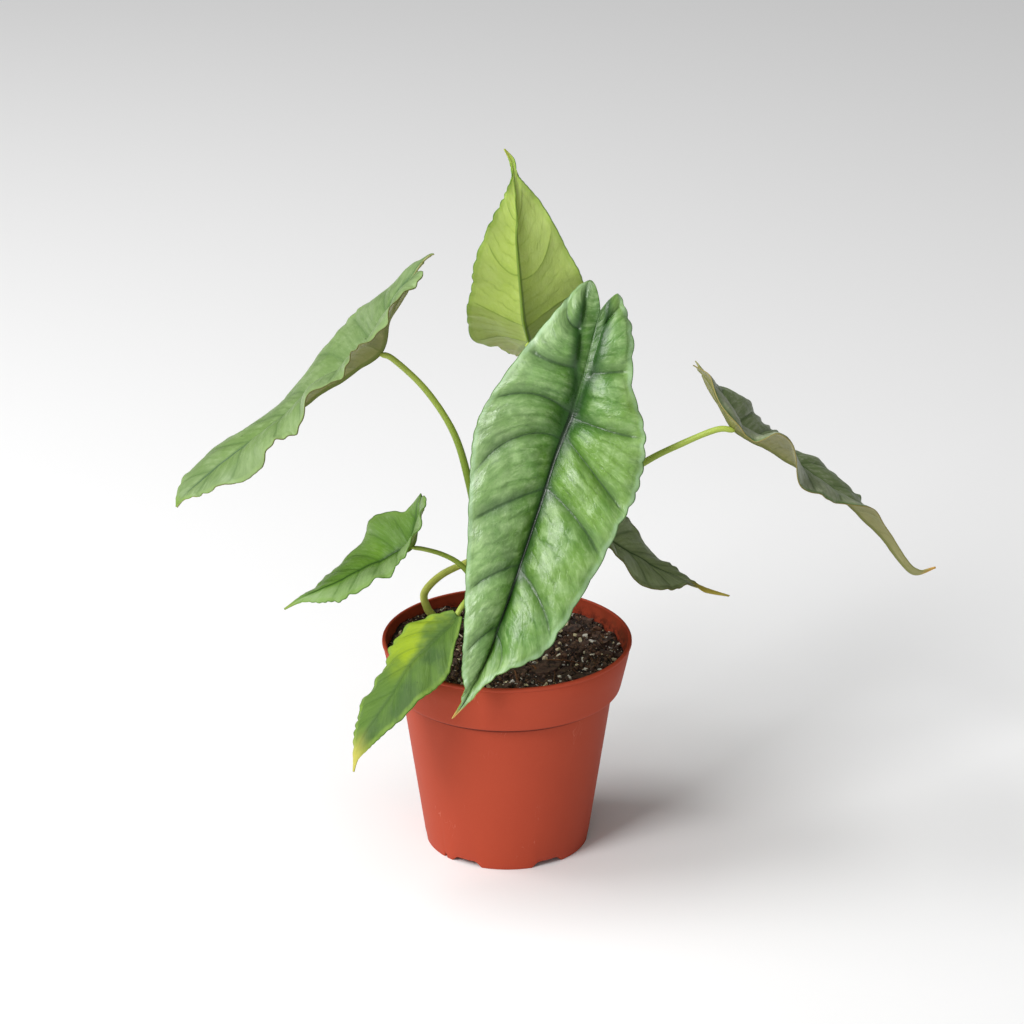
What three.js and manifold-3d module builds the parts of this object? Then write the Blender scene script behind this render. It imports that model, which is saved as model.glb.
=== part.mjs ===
// Potted dragon's breath alocasia in a small nursery pot.
// Units are millimetres, +Z up, origin on the underside of the pot, viewer towards -Y.
import * as THREE from 'three';
import { mergeVertices } from 'three/addons/utils/BufferGeometryUtils.js';
import Module from 'manifold-3d';

const wasm = await Module();
wasm.setup();

// Driving sizes
const GAP = 0.35;              // clearance between neighbouring parts
const BLADE_THICKNESS = 0.9;
const MIDRIB_DEPTH = 0.8;      // how far the midrib stands out below the blade
const TIP_HALF_WIDTH = 0.5;
const FULL_WIDTH = 30;         // half-width at which a blade arches by its full belly

const POT = {
  height: 92,
  rimRadius: 52.5,
  collarHeight: 20,
  collarFoot: 48.4,            // outer radius at the collar's lower edge
  shoulderRadius: 44.6,        // body just under the collar
  shoulderHeight: 69.5,
  baseRadius: 34.6,
  wall: 1.3,
  floorUnder: 2.7,
  floorTop: 4.2,
  padRadius: 12,
  footGap: 11.5,               // width of each gap between the feet
  drainRadius: 3.5,
  drainCircle: 24,
  feet: 6,
};
const SEGMENTS = 60;           // round the pot and the soil
const HOLE_SEGMENTS = 20;      // round a drainage hole or a stalk's hole
const DRAIN_CUT = 10;          // length of the cut that makes a drainage hole
// The cut between two feet: its length outwards, and how far it passes the skirt and the floor.
const FOOT_CUT = { length: 8, inside: 0.1, below: 1, above: 0.3 };

const SOIL_LEVEL = 85;
const SOIL_TILT = [-0.035, 0.01];   // rise per mm towards +X and +Y
const HOLE_FLOOR = 74;
const HOLE_DEPTH = 30;
const STEM_FOOT = 76;          // petioles reach this far down into the soil
const SOIL_SEED = 7;
const LEAN = 12;               // a grain or chip lies up to this many degrees out of level
// sunk: how deep a grain (as a share of its size) or a chip (in mm) lies; clear: its least way from the wall
const PERLITE = { count: 30, size: [0.9, 2], shape: [1, 0.8, 0.75], sunk: 0.2, clear: 4 };
const BARK = { count: 9, length: [7, 14], width: [3, 6], thickness: 1.8, sunk: 0.1, clear: 10 };

const COLOURS = {
  pot: 0xb9513a, soil: 0x2d1f18, crown: 0x8c7a45, petiole: 0x9ba63a, sprout: 0x86b04a,
  front: 0x4f8f43, left: 0x93b583, top: 0x9fb54f, right: 0x6f7d63,
  rear: 0x5a6251, small: 0x5e9642, low: 0x6d9a38,
};

// Each rib holds a point on the midline, one on the left margin and one on the right margin,
// seen with the upper face to the viewer and the tip down. The first rib runs from the notch
// to the two lobe tips; the last is the drip tip, a single point.
// petiole: path from the blade's seat to the foot in the soil, thickness as tip and foot radius.
const LEAVES = {
  front: {
    ribs: [
      [[38, 5, 235], [31, 12, 245], [46, 10, 241]],
      [[35, 0, 225], [18, 3, 233], [51, 0, 226]],
      [[31, -6, 210], [-1, -9, 212], [51, -11, 207]],
      [[26, -12, 195], [-12, -18, 195], [56, -20, 190]],
      [[20, -18, 181], [-15, -28, 174], [53, -29, 171]],
      [[14, -26, 164], [-16, -40, 148], [44, -37, 154]],
      [[6, -36, 142], [-17, -50, 125], [32, -46, 134]],
      [[-2, -46, 121], [-18, -58, 108], [16, -57, 112]],
      [[-9, -54, 104], [-17, -63, 96], [-5, -61, 101]],
      [[-17, -63, 92], [-19, -65, 91], [-15, -64, 92]],
      [[-22, -65, 85]],
    ],
    belly: [2.5, 2.5],
    ripple: [[0.6, 5, 0], [0.9, 6, 0.4]],
    petiole: {
      radii: [1.3, 2.6],
      path: [[26, -12, 195], [25, -6, 189], [22, 0, 165], [12, 2, 130], [6.5, -3, 104], [5.5, -5, 92]],
    },
  },
  left: {
    ribs: [
      [[-39, -3, 249], [-28, 6, 260], [-32, -12, 257]],
      [[-43, -4, 243], [-42, 16, 247], [-41, -20, 251]],
      [[-48, -5, 234], [-54, 24, 234], [-47, -27, 242]],
      [[-52, -5, 221], [-63, 28, 225], [-58, -30, 232]],
      [[-63, -5, 213], [-73, 28, 215], [-65, -32, 222]],
      [[-77, -5, 203], [-85, 28, 196], [-76, -34, 214]],
      [[-88, -5, 195], [-99, 27, 181], [-84, -33, 199]],
      [[-100, -5, 185], [-112, 24, 173], [-93, -31, 190]],
      [[-113, -5, 175], [-124, 18, 168], [-103, -26, 176]],
      [[-124, -6, 166], [-132, 9, 162], [-119, -18, 165]],
      [[-132, -7, 159], [-136, -3, 158], [-130, -12, 160]],
      [[-136, -8, 154]],
    ],
    belly: [2.5, 3],
    ripple: [[0.9, 5, 0], [1.6, 6, 0.4]],
    petiole: {
      radii: [1.25, 2.6],
      path: [[-52, -5, 220], [-46, -4, 217], [-33, -2, 203], [-22, 0, 184], [-16, 1, 163],
        [-11, 2, 135], [-7.5, 2, 104], [-7, 2, 92]],
    },
  },
  top: {
    ribs: [
      [[8, 50, 198], [0, 54, 199], [16, 54, 197]],
      [[9, 35, 206], [-8, 45, 206], [26, 46, 206]],
      [[9, 22, 213], [-16, 35, 215], [32, 35, 218]],
      [[9, 15, 218], [-16, 26, 227], [33, 26, 232]],
      [[7, 13, 227], [-15, 22, 238], [31, 22, 242]],
      [[6, 12, 238], [-13, 19, 250], [26, 19, 254]],
      [[5, 12, 250], [-10, 17, 261], [20, 17, 266]],
      [[4, 12, 263], [-5, 15, 272], [13, 15, 279]],
      [[4, 12, 274], [-1, 14, 281], [6, 14, 287]],
      [[3, 13, 286], [2, 13, 289], [4, 13, 291]],
      [[2, 14, 294], [1, 14, 295], [3, 14, 296]],
      [[-1, 15, 300]],
    ],
    belly: [2.5, 2.5],
    ripple: [[1.3, 6, 0], [1.3, 6, 0.4]],
    petiole: {
      radii: [1.3, 2.6],
      path: [[9, 14, 218], [9, 11, 213], [12, 12, 175], [5, 10, 130], [2, 8, 104], [1.5, 7.5, 92]],
    },
  },
  right: {
    ribs: [
      [[80, 0, 209], [75, -8, 217], [77, 8, 212]],
      [[83, 0, 203], [82, -18, 213], [86, 18, 199]],
      [[88, 0, 195], [87, -28, 206], [96, 26, 190]],
      [[94, 0, 186], [93, -33, 197], [104, 30, 183]],
      [[101, 0, 181], [100, -34, 194], [108, 31, 174]],
      [[107, 0, 178], [108, -36, 196], [115, 31, 170]],
      [[114, 0, 173], [116, -33, 188], [123, 29, 162]],
      [[122, 0, 168], [119, -32, 172], [132, 26, 159]],
      [[131, 0, 161], [128, -27, 166], [142, 22, 152]],
      [[140, 0, 154], [137, -20, 161], [147, 16, 147]],
      [[148, 1, 146], [150, -14, 154], [152, 9, 143]],
      [[155, 2, 138], [158, -6, 143], [157, 7, 137]],
      [[165, 3, 124], [167, 0, 126], [166, 5, 124]],
      [[171, 4, 119], [173, 3, 121], [172, 5, 120]],
      [[179, 4, 122]],
    ],
    belly: [2.2, 2.5],
    ripple: [[1.2, 6, 0], [1.4, 6, 0.4]],
    petiole: {
      radii: [1.25, 2.6],
      path: [[94, 0, 185], [86, 0, 185], [71, 1, 178], [57, 2, 170], [39, 4, 156], [20, 5, 132],
        [8.5, 4, 104], [7.2, 3.5, 92]],
    },
  },
  rear: {
    ribs: [
      [[25, 19, 149], [24, 14, 156], [27, 25, 151]],
      [[30, 18, 143], [29, 11, 147], [36, 29, 144]],
      [[35, 16, 136], [35, 2, 138], [44, 31, 138]],
      [[43, 15, 130], [42, -3, 135], [51, 32, 133]],
      [[50, 15, 125], [50, -4, 124], [58, 31, 122]],
      [[57, 15, 121], [60, -3, 115], [65, 29, 115]],
      [[63, 15, 117], [69, 2, 113], [71, 25, 113]],
      [[70, 15, 114], [76, 8, 112], [78, 19, 110]],
      [[77, 15, 110], [80, 13, 109], [80, 17, 109]],
      [[84, 15, 107], [84, 14, 106], [85, 16, 107]],
      [[94, 15, 104]],
    ],
    belly: [1.5, 1.5],
    ripple: [[0.7, 6, 0], [0.5, 5, 0.4]],
    petiole: {
      radii: [1.1, 2],
      path: [[35, 15, 135], [29, 16, 137], [14, 18, 134], [-3, 20, 125], [-17, 21, 117], [-28, 21, 111],
        [-35, 21, 103], [-34, 21, 96], [-31, 21, 90]],
    },
  },
  small: {
    ribs: [
      [[-36, -12, 155], [-35, -8, 160], [-33, -16, 162]],
      [[-37, -11, 149], [-42, -3, 150], [-34, -22, 158]],
      [[-40, -10, 138], [-48, 2, 148], [-37, -26, 150]],
      [[-45, -10, 135], [-57, 5, 143], [-42, -28, 141]],
      [[-51, -11, 132], [-60, 6, 133], [-47, -28, 133]],
      [[-58, -12, 129], [-67, 5, 126], [-55, -28, 129]],
      [[-64, -13, 126], [-74, 2, 120], [-64, -26, 122]],
      [[-70, -14, 123], [-79, -4, 117], [-71, -23, 118]],
      [[-77, -15, 120], [-83, -9, 116], [-79, -19, 116]],
      [[-84, -16, 117], [-86, -14, 116], [-85, -17, 115]],
      [[-92, -17, 112]],
    ],
    belly: [1.5, 1.5],
    ripple: [[0.4, 5, 0], [0.8, 8, 0.4]],
    petiole: {
      radii: [0.95, 2.3],
      path: [[-40, -10, 137], [-34, -10, 136], [-26, -9, 133], [-19, -8, 128], [-13, -7, 119],
        [-5, -6.5, 101], [-4, -7, 92]],
    },
  },
  low: {
    ribs: [
      [[-20, -40, 119], [-22, -38, 121], [-18, -43, 120]],
      [[-23, -42, 116], [-34, -35, 116], [-20, -50, 114]],
      [[-27, -44, 113], [-42, -35, 111], [-22, -56, 108]],
      [[-32, -47, 109], [-47, -36, 104], [-24, -60, 101]],
      [[-38, -50, 104], [-50, -39, 96], [-30, -62, 96]],
      [[-43, -54, 97], [-54, -43, 90], [-37, -65, 91]],
      [[-48, -58, 90], [-59, -49, 84], [-44, -67, 84]],
      [[-53, -62, 84], [-61, -56, 79], [-51, -68, 78]],
      [[-58, -66, 77], [-62, -63, 74], [-56, -69, 73]],
      [[-61, -69, 70], [-62, -68, 69], [-60, -70, 69]],
      [[-62, -71, 64]],
    ],
    belly: [1.8, 1.8],
    ripple: [[0.6, 7, 0], [0.5, 6, 0.4]],
    petiole: {
      radii: [1.15, 2.2],
      path: [[-21, -39, 118], [-18, -36, 122], [-14, -31, 124], [-8, -24, 120], [-2, -16, 108],
        [0.5, -11, 98], [1, -10, 92]],
    },
  },
};

const vector = (p) => new THREE.Vector3(...p);
const curveThrough = (points) => new THREE.CatmullRomCurve3(points, false, 'catmullrom', 0.5);

function geometryOf(points, triangles) {
  const geometry = new THREE.BufferGeometry();
  const positions = points.flatMap((p) => [p.x, p.y, p.z]);
  geometry.setAttribute('position', new THREE.Float32BufferAttribute(positions, 3));
  geometry.setIndex(triangles.flat());
  return geometry;
}

function solidOf(points, triangles) {
  const mesh = new wasm.Mesh({
    numProp: 3,
    vertProperties: new Float32Array(points.flatMap((p) => [p.x, p.y, p.z])),
    triVerts: new Uint32Array(triangles.flat()),
  });
  return new wasm.Manifold(mesh);
}

function geometryOfSolid(solid) {
  const mesh = solid.getMesh();
  const geometry = new THREE.BufferGeometry();
  geometry.setAttribute('position', new THREE.BufferAttribute(new Float32Array(mesh.vertProperties), 3));
  geometry.setIndex(new THREE.BufferAttribute(new Uint32Array(mesh.triVerts), 1));
  return geometry;
}

// A closed three.js shape with its shared corners merged, to be placed and then joined or cut.
function closed(geometry) {
  geometry.deleteAttribute('normal');
  geometry.deleteAttribute('uv');
  return mergeVertices(geometry);
}

function solidOfGeometry(geometry) {
  const mesh = new wasm.Mesh({
    numProp: 3,
    vertProperties: geometry.getAttribute('position').array,
    triVerts: new Uint32Array(geometry.index.array),
  });
  return new wasm.Manifold(mesh);
}

const box = (x, y, z) => closed(new THREE.BoxGeometry(x, y, z));
const lump = (radius) => closed(new THREE.OctahedronGeometry(radius, 1));
const uprightCylinder = (radius, height) => closed(
  new THREE.CylinderGeometry(radius, radius, height, HOLE_SEGMENTS),
).rotateX(Math.PI / 2);

const largest = (solid) => solid.decompose().sort((a, b) => b.volume() - a.volume())[0];

// The blade's middle surface as rows of points, from the left margin over the midline to the right.
function bladeSurface(leaf, rows, columns) {
  const ribs = leaf.ribs.slice(0, -1).map((rib) => rib.map(vector));
  const tip = vector(leaf.ribs.at(-1)[0]);
  const before = ribs.at(-1);
  const across = before[2].clone().sub(before[1]).setLength(TIP_HALF_WIDTH);
  ribs.push([tip, tip.clone().sub(across), tip.clone().add(across)]);
  const [midline, left, right] = [0, 1, 2].map((k) => curveThrough(ribs.map((rib) => rib[k])));
  const surface = [];
  for (let i = 0; i <= rows; i += 1) {
    const u = i / rows;
    const middle = midline.getPoint(u);
    const along = midline.getTangent(u);
    const row = [];
    for (const [side, margin] of [[-1, left], [1, right]]) {
      const edge = margin.getPoint(u);
      const out = edge.clone().sub(middle);
      const face = along.clone().cross(out).multiplyScalar(side).normalize();
      const [height, waves, phase] = leaf.ripple[side < 0 ? 0 : 1];
      const spread = Math.min(1, out.length() / FULL_WIDTH);
      const ripple = height * Math.min(1, 2 * spread) * Math.sin(2 * Math.PI * (waves * u + phase));
      const belly = leaf.belly[side < 0 ? 0 : 1] * spread;
      for (let j = 1; j <= columns; j += 1) {
        const t = j / columns;
        const lift = belly * 4 * t * (1 - t) + ripple * t ** 3;
        row.push(middle.clone().addScaledVector(out, t).addScaledVector(face, lift));
      }
      if (side < 0) {
        row.reverse();
        row.push(middle);
      }
    }
    surface.push(row);
  }
  return surface;
}

// Closed blade: the surface pushed out to both faces, triangulated alike, with a keel under the midline.
function bladeShell(leaf, rows, columns, thickness, keel) {
  const surface = bladeSurface(leaf, rows, columns);
  const width = 2 * columns;
  const at = (i, j) => surface[Math.max(0, Math.min(rows, i))][Math.max(0, Math.min(width, j))];
  const upper = [];
  const under = [];
  for (let i = 0; i <= rows; i += 1) {
    for (let j = 0; j <= width; j += 1) {
      const along = at(i + 1, j).clone().sub(at(i - 1, j));
      const across = at(i, j + 1).clone().sub(at(i, j - 1));
      const face = along.cross(across).normalize();
      const drop = j === columns ? keel * (1 - 0.8 * i / rows) : 0;
      upper.push(at(i, j).clone().addScaledVector(face, thickness / 2));
      under.push(at(i, j).clone().addScaledVector(face, -thickness / 2 - drop));
    }
  }
  const points = [...upper, ...under];
  const count = upper.length;
  const index = (i, j) => i * (width + 1) + j;
  const triangles = [];
  for (let i = 0; i < rows; i += 1) {
    for (let j = 0; j < width; j += 1) {
      const [a, b, c, d] = [index(i, j), index(i, j + 1), index(i + 1, j + 1), index(i + 1, j)];
      triangles.push([a, c, b], [a, d, c]);
      triangles.push([a + count, b + count, c + count], [a + count, c + count, d + count]);
    }
  }
  const rim = [];
  for (let j = 0; j < width; j += 1) rim.push(index(0, j));
  for (let i = 0; i < rows; i += 1) rim.push(index(i, width));
  for (let j = width; j > 0; j -= 1) rim.push(index(rows, j));
  for (let i = rows; i > 0; i -= 1) rim.push(index(i, 0));
  rim.forEach((a, k) => {
    const b = rim[(k + 1) % rim.length];
    triangles.push([a, b, b + count], [a, b + count, a + count]);
  });
  return [points, triangles];
}

// Round stem along a path with a radius that grows from its tip to its foot.
function stemShell(path, [tipRadius, footRadius], sides, steps) {
  const curve = curveThrough(path.map(vector));
  const { normals, binormals } = curve.computeFrenetFrames(steps, false);
  const points = [];
  const triangles = [];
  for (let i = 0; i <= steps; i += 1) {
    const u = curve.getUtoTmapping(i / steps);
    const centre = curve.getPoint(u);
    const radius = tipRadius + (footRadius - tipRadius) * (i / steps) ** 1.6;
    for (let k = 0; k < sides; k += 1) {
      const angle = 2 * Math.PI * k / sides;
      points.push(centre.clone()
        .addScaledVector(normals[i], radius * Math.cos(angle))
        .addScaledVector(binormals[i], radius * Math.sin(angle)));
    }
  }
  const first = points.push(curve.getPoint(0)) - 1;
  const last = points.push(curve.getPoint(1)) - 1;
  for (let k = 0; k < sides; k += 1) {
    const next = (k + 1) % sides;
    for (let i = 0; i < steps; i += 1) {
      const [a, b, c, d] = [i * sides + k, i * sides + next, (i + 1) * sides + next, (i + 1) * sides + k];
      triangles.push([a, b, c], [a, c, d]);
    }
    triangles.push([first, next, k], [last, steps * sides + k, steps * sides + next]);
  }
  return [points, triangles];
}

// Closed body of revolution from a profile of [radius, height] that starts and ends on the axis.
function turned(profile) {
  const points = [];
  const triangles = [];
  const rings = profile.slice(1, -1);
  for (const [radius, height] of rings) {
    for (let k = 0; k < SEGMENTS; k += 1) {
      const angle = 2 * Math.PI * k / SEGMENTS;
      points.push(new THREE.Vector3(radius * Math.cos(angle), radius * Math.sin(angle), height));
    }
  }
  const first = points.push(new THREE.Vector3(0, 0, profile[0][1])) - 1;
  const last = points.push(new THREE.Vector3(0, 0, profile.at(-1)[1])) - 1;
  const end = (rings.length - 1) * SEGMENTS;
  for (let k = 0; k < SEGMENTS; k += 1) {
    const next = (k + 1) % SEGMENTS;
    triangles.push([first, next, k], [last, end + k, end + next]);
    for (let r = 0; r < rings.length - 1; r += 1) {
      const [a, b] = [r * SEGMENTS + k, r * SEGMENTS + next];
      triangles.push([a, b, b + SEGMENTS], [a, b + SEGMENTS, a + SEGMENTS]);
    }
  }
  return [points, triangles];
}

const bodyRadius = (z) => POT.baseRadius + (POT.shoulderRadius - POT.baseRadius) * z / POT.shoulderHeight;
const collarBottom = POT.height - POT.collarHeight;
const collarRadius = (z) => POT.collarFoot
  + (POT.rimRadius - POT.collarFoot) * (z - collarBottom) / POT.collarHeight;

function potSolid() {
  const { height, shoulderHeight, wall, floorUnder, floorTop, padRadius } = POT;
  const skirt = POT.baseRadius - wall;
  const profile = [
    [0, 0], [padRadius, 0], [padRadius + 1, floorUnder], [skirt, floorUnder], [skirt, 0],
    [POT.baseRadius, 0], [POT.shoulderRadius, shoulderHeight],
    [46.6, 70.2], [47.8, 71.2], [POT.collarFoot, 73],
    [POT.rimRadius, height - 1], [POT.rimRadius - 0.3, height],
    [POT.rimRadius - 1.6, height], [collarRadius(height - 2) - wall, height - 2],
    [collarRadius(74.5) - wall, 74.5], [bodyRadius(72) - wall + 0.6, 72],
    [bodyRadius(shoulderHeight) - wall, shoulderHeight],
    [bodyRadius(floorTop) - wall, floorTop], [0, floorTop],
  ];
  let pot = solidOf(...turned(profile));
  const cutHeight = FOOT_CUT.below + floorUnder + FOOT_CUT.above;
  const cutMiddle = [skirt - FOOT_CUT.inside + FOOT_CUT.length / 2, 0, cutHeight / 2 - FOOT_CUT.below];
  for (let k = 0; k < POT.feet; k += 1) {
    const turn = 2 * Math.PI * k / POT.feet;
    const gap = box(FOOT_CUT.length, POT.footGap, cutHeight).translate(...cutMiddle).rotateZ(turn);
    const drain = uprightCylinder(POT.drainRadius, DRAIN_CUT)
      .translate(POT.drainCircle, 0, floorTop).rotateZ(turn);
    pot = pot.subtract(solidOfGeometry(gap)).subtract(solidOfGeometry(drain));
  }
  return pot;
}

// Repeatable scatter: the same seed gives the same soil every time.
function scatter(seed) {
  let state = seed;
  return (low, high) => {
    state = (state * 1103515245 + 12345) % 2147483648;
    return low + (high - low) * state / 2147483648;
  };
}

// Gentle heaps of potting mix, a little higher at the back left.
function soilHeight(x, y) {
  const heaps = 0.9 * Math.sin(0.21 * x + 1.3) * Math.cos(0.17 * y - 0.6);
  const furrows = 0.5 * Math.sin(0.47 * x - 0.39 * y);
  return SOIL_LEVEL + SOIL_TILT[0] * x + SOIL_TILT[1] * y + heaps + furrows;
}

function soilSolid(holes) {
  const wallAt = (z) => collarRadius(z) - POT.wall - GAP;
  const low = bodyRadius(POT.floorTop + GAP) - POT.wall - GAP;
  const rings = 9;
  const profile = [
    [0, POT.floorTop + GAP], [low, POT.floorTop + GAP],
    [bodyRadius(POT.shoulderHeight) - POT.wall - GAP, POT.shoulderHeight],
    [bodyRadius(72) - POT.wall + 0.6 - GAP, 72.2], [wallAt(74.5), 75],
  ];
  const rim = wallAt(SOIL_LEVEL - 3);
  for (let r = 0; r < rings; r += 1) profile.push([rim * (1 - r / rings), SOIL_LEVEL]);
  profile.push([0, SOIL_LEVEL]);
  const [points, triangles] = turned(profile);
  for (const p of points) {
    if (p.z === SOIL_LEVEL) p.z = soilHeight(p.x, p.y);
  }
  let soil = solidOf(points, triangles);
  const draw = scatter(SOIL_SEED);
  const lean = () => THREE.MathUtils.degToRad(draw(-LEAN, LEAN));
  const placeOnSoil = (shape, sink, clear) => {
    const angle = draw(0, 360);
    const distance = (rim - clear) * Math.sqrt(draw(0.06, 1));
    const [x, y] = [distance * Math.cos(angle), distance * Math.sin(angle)];
    shape.rotateX(lean()).rotateY(lean()).rotateZ(THREE.MathUtils.degToRad(draw(0, 360)));
    return solidOfGeometry(shape.translate(x, y, soilHeight(x, y) - sink));
  };
  const lumps = [];
  for (let k = 0; k < PERLITE.count; k += 1) {
    const size = draw(...PERLITE.size);
    lumps.push(placeOnSoil(lump(size).scale(...PERLITE.shape), PERLITE.sunk * size, PERLITE.clear));
  }
  for (let k = 0; k < BARK.count; k += 1) {
    const chip = box(draw(...BARK.length), draw(...BARK.width), BARK.thickness);
    lumps.push(placeOnSoil(chip, BARK.sunk, BARK.clear));
  }
  soil = wasm.Manifold.union([soil, ...lumps]);
  for (const [x, y, radius] of holes) {
    const hole = uprightCylinder(radius, HOLE_DEPTH).translate(x, y, HOLE_FLOOR + HOLE_DEPTH / 2);
    soil = soil.subtract(solidOfGeometry(hole));
  }
  return soil;
}

const plant = new THREE.Group();
plant.name = 'potted_alocasia';

function addPart(name, geometry, colour, roughness) {
  const material = new THREE.MeshStandardMaterial({ color: colour, roughness, metalness: 0 });
  const mesh = new THREE.Mesh(geometry, material);
  mesh.name = name;
  plant.add(mesh);
}

const CROWN = { radius: 4, foot: 75.5, shoulder: 86, neckRadius: 2.8, neck: 89, top: 90 };
const SPROUT = {
  radii: [0.5, 0.9],
  path: [[11.5, -9, 88.2], [11, -9, 87], [10.5, -9, 85], [10.5, -9, 78]],
};
const holes = [[0, 0, CROWN.radius + GAP], [...SPROUT.path.at(-1).slice(0, 2), SPROUT.radii[1] + GAP]];

for (const [name, leaf] of Object.entries(LEAVES)) {
  const large = leaf.belly[0] > 2;
  const [rows, columns] = large ? [30, 4] : [24, 3];
  addPart(`blade_${name}`, geometryOf(...bladeShell(leaf, rows, columns, BLADE_THICKNESS, MIDRIB_DEPTH)),
    COLOURS[name], 0.45);
  const { path, radii } = leaf.petiole;
  const [x, y] = path.at(-1);
  holes.push([x, y, radii[1] + GAP]);
  const stem = solidOf(...stemShell([...path, [x, y, STEM_FOOT]], radii, 12, 16));
  const clearance = solidOf(...bladeShell(leaf, rows, columns, BLADE_THICKNESS + 2 * GAP, MIDRIB_DEPTH));
  addPart(`petiole_${name}`, geometryOfSolid(largest(stem.subtract(clearance))), COLOURS.petiole, 0.5);
}

const crownProfile = [
  [0, CROWN.foot], [CROWN.radius, CROWN.foot], [CROWN.radius, CROWN.shoulder],
  [CROWN.neckRadius, CROWN.neck], [0, CROWN.top],
];
addPart('crown', geometryOf(...turned(crownProfile)), COLOURS.crown, 0.8);
addPart('sprout', geometryOf(...stemShell(SPROUT.path, SPROUT.radii, 8, 8)), COLOURS.sprout, 0.5);
addPart('soil', geometryOfSolid(soilSolid(holes)), COLOURS.soil, 0.95);
addPart('pot', geometryOfSolid(potSolid()), COLOURS.pot, 0.6);

export default plant;
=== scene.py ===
"""Potted dragon's breath alocasia: the looks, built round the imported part.

Tables are in millimetres, with the row's axes: +Z up, origin under the pot, viewer towards -Y.
Meshes are made in millimetres and turned into metres when they become pieces.
"""

import math

import bmesh
import bpy
import numpy as np
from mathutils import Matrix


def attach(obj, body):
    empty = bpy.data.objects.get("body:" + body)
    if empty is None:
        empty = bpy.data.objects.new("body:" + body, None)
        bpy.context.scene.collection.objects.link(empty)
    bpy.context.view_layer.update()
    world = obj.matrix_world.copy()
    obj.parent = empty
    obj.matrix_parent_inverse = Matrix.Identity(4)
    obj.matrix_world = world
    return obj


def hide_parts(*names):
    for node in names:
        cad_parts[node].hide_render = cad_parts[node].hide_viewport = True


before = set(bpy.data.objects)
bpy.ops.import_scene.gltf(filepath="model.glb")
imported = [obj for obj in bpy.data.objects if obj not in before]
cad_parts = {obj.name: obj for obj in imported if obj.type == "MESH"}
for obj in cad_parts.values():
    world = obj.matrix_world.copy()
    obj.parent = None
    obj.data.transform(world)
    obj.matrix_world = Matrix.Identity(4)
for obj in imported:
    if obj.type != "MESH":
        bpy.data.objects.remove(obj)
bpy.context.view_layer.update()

MM = 0.001
TAU = 2 * math.pi

# Camera of the photograph
CAMERA_PLACE = (0.0021, -1.36845, 0.70697)
CAMERA_DOWN = math.radians(22.2)
CAMERA_LENS = 125.5
SENSOR = 36.0

POT = {
    "height": 92, "rim": 52.5, "collar_height": 20, "collar_foot": 48.4, "shoulder": 44.6,
    "shoulder_height": 69.5, "base": 34.6, "wall": 1.3, "floor_under": 2.7, "floor_top": 4.2,
    "pad": 12, "foot_gap": 11.5, "drain": 3.5, "drain_circle": 24, "feet": 6,
}
SOIL_GAP = 0.35             # clearance between the potting mix and the pot
SOIL_LEVEL = 85
SOIL_TILT = (-0.035, 0.01)  # rise per mm towards +X and +Y
STEM_FOOT = 76              # the stalks reach this far down into the mix
STALK_SIDES = 20
SPROUT = ((11.5, -9, 88.2), (11, -9, 87), (10.5, -9, 85), (10.5, -9, 78))

# Blade sizes shared by all the leaves
GRID_STEP = 0.7             # spacing of the blade's mesh
FOLD_STEP = 6               # mesh steps from the midrib at which its fold is measured
CREASE_REACH = 2.0          # the blade's facing turns over this distance on each side of the midrib
LEAST_OPENING = 0.14        # the halves of a folded blade open at least this much for each mm out
FULL_WIDTH = 30             # half-width at which a blade arches by its full belly
TIP_HALF_WIDTH = 0.3
BLADE_THICKNESS = 0.8       # in the middle
MARGIN_THICKNESS = 0.45
LOBE_ROUNDING = 0.12        # share of the half-width taken off at the lobes' tips
LOBE_LENGTH = 0.02          # over this share of the leaf's length
LOBE_FILL_LENGTH = 0.16     # the lobes' inner edges are rounded out over this share of the length
RUFFLE_DRIFT = (2, 3.3)     # how far the spacing of the ruffles drifts, and how often along a leaf
TOOTH_DRIFT = (1.5, 2.7)    # the same for the teeth
KEEL = 0.9                  # how far the midrib stands out below the blade
KEEL_HALF_WIDTH = 1.5
VEIN_RIDGE = (0.22, 0.55)   # height and half-width of a side vein's ridge on the underside
COSTA_RIDGE = (0.4, 1.1)    # and of the ridges that run back into the lobes
VALLEY_REACH = 6.5          # the blade sinks towards its midrib over this distance
FUNNEL_REACH = 11           # and round the place where the stalk joins it
FURROW_REACH = 2.6          # and, less deeply, towards each side vein
CREASE_WIDTH = 0.8
CREASE_DEPTH = 0.1          # the sharp line on top of a side vein
GROOVE_DEPTH = 0.18         # the same on top of the midrib
WARPS = ((0.35, 22, 3), (0.12, 7, 5))       # uneven waves of a blade: height, size and seed
PALE_EDGES = ("left", "right")      # blades whose edge has the underside's colour

# Side veins: each as the leaf's length fraction where it leaves the midrib, half-way out and
# at the margin. These blades have the same veins on both halves.
LONG_BLADE_VEINS = [(0.12, 0.1, 0.09), (0.21, 0.21, 0.22), (0.29, 0.31, 0.34), (0.38, 0.41, 0.45),
                    (0.48, 0.51, 0.55), (0.58, 0.61, 0.65), (0.68, 0.71, 0.75)]
SHORT_BLADE_VEINS = [(0.1, 0.09, 0.08), (0.2, 0.2, 0.21), (0.3, 0.33, 0.36), (0.42, 0.46, 0.5),
                     (0.54, 0.58, 0.62), (0.66, 0.69, 0.72)]
LOW_BLADE_VEINS = [(0.02, 0.1, 0.14), (0.16, 0.22, 0.27), (0.29, 0.35, 0.4), (0.42, 0.47, 0.52),
                   (0.55, 0.6, 0.64), (0.68, 0.72, 0.76)]
EVEN_COSTAE = ((0.0, 0.14, 0.5), (0.0, 0.14, 0.5))

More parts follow.
